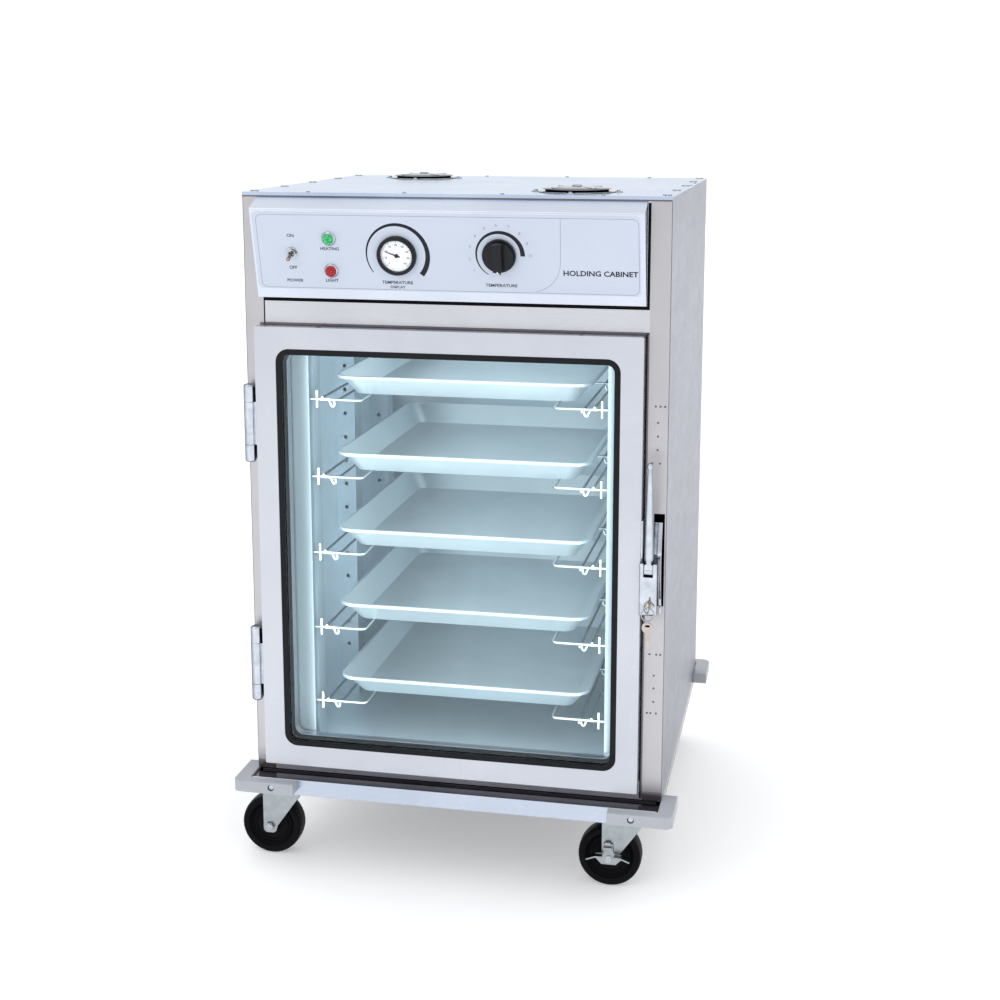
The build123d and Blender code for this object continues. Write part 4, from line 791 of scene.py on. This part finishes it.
# The throat is painted shade: a dark ring under the dome, between the flange and the dome.
THROAT_SHADE = ((4.2, 1.3), (47, 1.3), (47.5, 2.6), (46, 4.3), (4.2, 4.3))
DOME = (
    (4.1, 5.4), (30, 5.0), (49, 4.4), (51, 4.5), (51.4, 5.0), (50, 5.8), (36, 7.0), (20, 8.0), (9, 8.4),
    (7.4, 8.8), (7.2, 10.0), (6.2, 10.5), (0.2, 10.6), (0.2, 7.7), (4.1, 7.7),
)
for label in ("front", "rear"):
    low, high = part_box(label + "_vent_damper")
    x, y = (low[0] + high[0]) / 2, (low[1] + high[1]) / 2
    up = Matrix.Translation((x, y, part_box("roof_cover")[1][2]))
    bm = bmesh.new()
    lathe(bm, mm(FLANGE), up, 64)
    lathe(bm, mm(POST), up, 24)
    for i in range(4):
        lug = up @ Matrix.Rotation(math.radians(90 * i), 4, "Z") @ Matrix.Translation((0.062, 0, 0))
        prism(bm, mm(rounded(-8, -6.5, 6, 6.5, 5.5, 6)), lug, 0.0001, 0.0015)
        lathe(bm, mm(LUG_SCREW), lug, 20)
    base = from_bmesh(label + "_vent_flange", bm, "cabinet", "chrome")
    if label == "front":
        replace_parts(base, "vent_bases")
    bm = bmesh.new()
    # Painted shade in the vent's throat.
    lathe(bm, mm(THROAT_SHADE), up, 64)
    from_bmesh(label + "_vent_throat_shade", bm, "cabinet", "dark")
    bm = bmesh.new()
    lathe(bm, mm(DOME), up, 64)
    for i in range(4):
        rib = up @ Matrix.Rotation(math.radians(90 * i + 45), 4, "Z")
        rib = rib @ Matrix.Translation((0.031, 0, 0.0066))
        prism(bm, mm(rounded(-14, -4.5, 14, 4.5, 4.2, 6)), rib, 0.0, 0.0012)
    dome = from_bmesh(label + "_vent_dome", bm, label + "_vent_damper", "chrome")
    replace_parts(dome, label + "_vent_damper")

# ---------------------------------------------------------------- casters
# Turned outlines in mm: radius, distance along the axle from the wheel's middle.
TREAD = [(12.5, -12.5), (14, -9.5), (33, -9.0), (36, -11.5), (37.5, -14.6), (41, -15.8), (45.5, -15.2)]
TREAD += [(48, -12.6), (48.8, -8), (49, 0)]
TREAD += [(r, -h) for r, h in reversed(TREAD[:-1])]
HUB = [(5.2, -16), (11.5, -16), (12.3, -15), (12.5, -12), (12.5, 12), (12.3, 15), (11.5, 16), (5.2, 16)]
INNER_RIM = [(26.0, -0.8), (27.5, -0.8), (27.9, 0), (27.5, 0.8), (26.0, 0.8)]
OUTER_RIM = [(31.5, -0.7), (32.6, -0.7), (33, 0), (32.6, 0.7), (31.5, 0.7)]
for corner in CORNERS:
    roll = joints[corner + "_roll"]
    hub = Vector(roll["pos_m"])
    axle = Vector(roll["axis"]).normalized()
    place = basis(hub, Vector((0, 0, 1)).cross(axle), (0, 0, 1))
    bm = bmesh.new()
    lathe(bm, mm(TREAD), place, 72)
    wheel = from_bmesh(corner + "_tyre", bm, corner + "_caster_wheel", "tyre", 28.0)
    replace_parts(wheel, corner + "_caster_wheel")
    bm = bmesh.new()
    lathe(bm, mm(HUB), place, 40)
    for side in (-1, 1):
        flat = place @ Matrix.Translation((0, 0, side * 0.0095))
        lathe(bm, mm(INNER_RIM), flat, 56)
        lathe(bm, mm(OUTER_RIM), flat, 56)
    from_bmesh(corner + "_hub", bm, corner + "_caster_wheel", "core")
    bm = bmesh.new()
    for side in (-1, 1):
        prism(bm, polygon(7.4), place, *sorted((side * 0.0212, side * 0.0255)))
        crown = [(0.3, side * 25.0), (6.2, side * 25.0), (5.6, side * 26.2), (0.3, side * 26.4)]
        lathe(bm, mm(crown), place, 24)
    from_bmesh(corner + "_axle_nuts", bm, corner + "_caster_fork", "bolt")

# ---------------------------------------------------------------- floor, lights, camera
bm = bmesh.new()
bmesh.ops.create_circle(bm, cap_ends=True, radius=14.0, segments=96)
mesh = bpy.data.meshes.new("floor")
bm.to_mesh(mesh)
bm.free()
floor = bpy.data.objects.new("floor", mesh)
bpy.context.scene.collection.objects.link(floor)
m, tree, shader = material("floor_paper")
grain = noise(tree, (3.0, 3.0, 3.0), 3.0)
tree.links.new(blend(tree, grain, (0.90, 0.90, 0.91), (0.93, 0.93, 0.935)), shader.inputs["Base Color"])
shader.inputs["Roughness"].default_value = 0.9
shader.inputs["Specular IOR Level"].default_value = 0.1
shader.inputs["Emission Color"].default_value = (0.98, 0.99, 1.0, 1.0)
shader.inputs["Emission Strength"].default_value = 0.30
mesh.materials.append(m)

world = bpy.data.worlds.new("studio")
bpy.context.scene.world = world
world.use_nodes = True
tree = world.node_tree
back = tree.nodes["Background"]
source = add(tree, "ShaderNodeTexCoord")
split = add(tree, "ShaderNodeSeparateXYZ")
tree.links.new(source.outputs["Generated"], split.inputs["Vector"])
ramp = add(tree, "ShaderNodeMapRange")
for key, value in zip(("From Min", "From Max", "To Min", "To Max"), (-0.6, 0.2, 0.88, 1.06)):
    ramp.inputs[key].default_value = value
tree.links.new(split.outputs["Y"], ramp.inputs["Value"])
back.inputs["Color"].default_value = (0.985, 0.99, 1.0, 1.0)
tree.links.new(ramp.outputs["Result"], back.inputs["Strength"])


COOL, PALE = (0.93, 0.975, 1.0), (0.95, 0.98, 1.0)


def lamp(name, spot, aim, size, power, tone):
    """A soft panel light that the camera doesn't see."""
    data = bpy.data.lights.new(name, "AREA")
    data.shape = "RECTANGLE"
    data.size, data.size_y = size
    data.energy = power
    data.color = tone
    obj = bpy.data.objects.new(name, data)
    obj.location = spot
    obj.rotation_euler = (Vector(aim) - Vector(spot)).to_track_quat("-Z", "Y").to_euler()
    obj.visible_camera = False
    bpy.context.scene.collection.objects.link(obj)


def sun(name, aim, strength, spread_deg):
    data = bpy.data.lights.new(name, "SUN")
    data.energy = strength
    data.angle = math.radians(spread_deg)
    obj = bpy.data.objects.new(name, data)
    obj.rotation_euler = Vector(aim).to_track_quat("-Z", "Y").to_euler()
    bpy.context.scene.collection.objects.link(obj)


sun("key", (0.45, 0.75, -0.8), 0.35, 50)
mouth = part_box("inner_liner")
CHAMBER_Z = 0.52                         # height of the chamber's middle
lamp("chamber_fill", (0, mouth[0][1] - 0.008, CHAMBER_Z), (0, 1, CHAMBER_Z), (0.466, 0.62), 1.7, PALE)
for side, power in ((-1, 0.22), (1, 0.12)):
    spot, aim = (side * 0.212, mouth[0][1] + 0.004, CHAMBER_Z), (side * 0.02, 0.2, CHAMBER_Z)
    lamp("chamber_edge", spot, aim, (0.02, 0.6), power, COOL)

floors = sorted(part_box(f"pan_{level}")[0][2] for level in range(1, 6)) + [mouth[1][2] - 0.03]
middle_y = (mouth[0][1] + mouth[1][1]) / 2
for number, (height, power) in enumerate(zip(floors, (0.03, 0.12, 0.19, 0.20, 0.22, 0.34)), 1):
    spot, aim = (0, middle_y, height - 0.004), (0, middle_y + 0.002, 0)
    lamp(f"shelf_fill_{number}", spot, aim, (0.32, 0.40), power, PALE)

camera = bpy.data.cameras.new("camera")
camera.sensor_width = SENSOR
camera.lens = FOCAL * SENSOR / IMAGE
camera.shift_y = SHIFT
camera.clip_end = 60.0
eye = bpy.data.objects.new("camera", camera)
eye.location = EYE
eye.rotation_euler = (math.radians(90 - PITCH), 0.0, math.radians(YAW))
bpy.context.scene.collection.objects.link(eye)
bpy.context.scene.camera = eye
bpy.context.scene.view_settings.view_transform = "Standard"
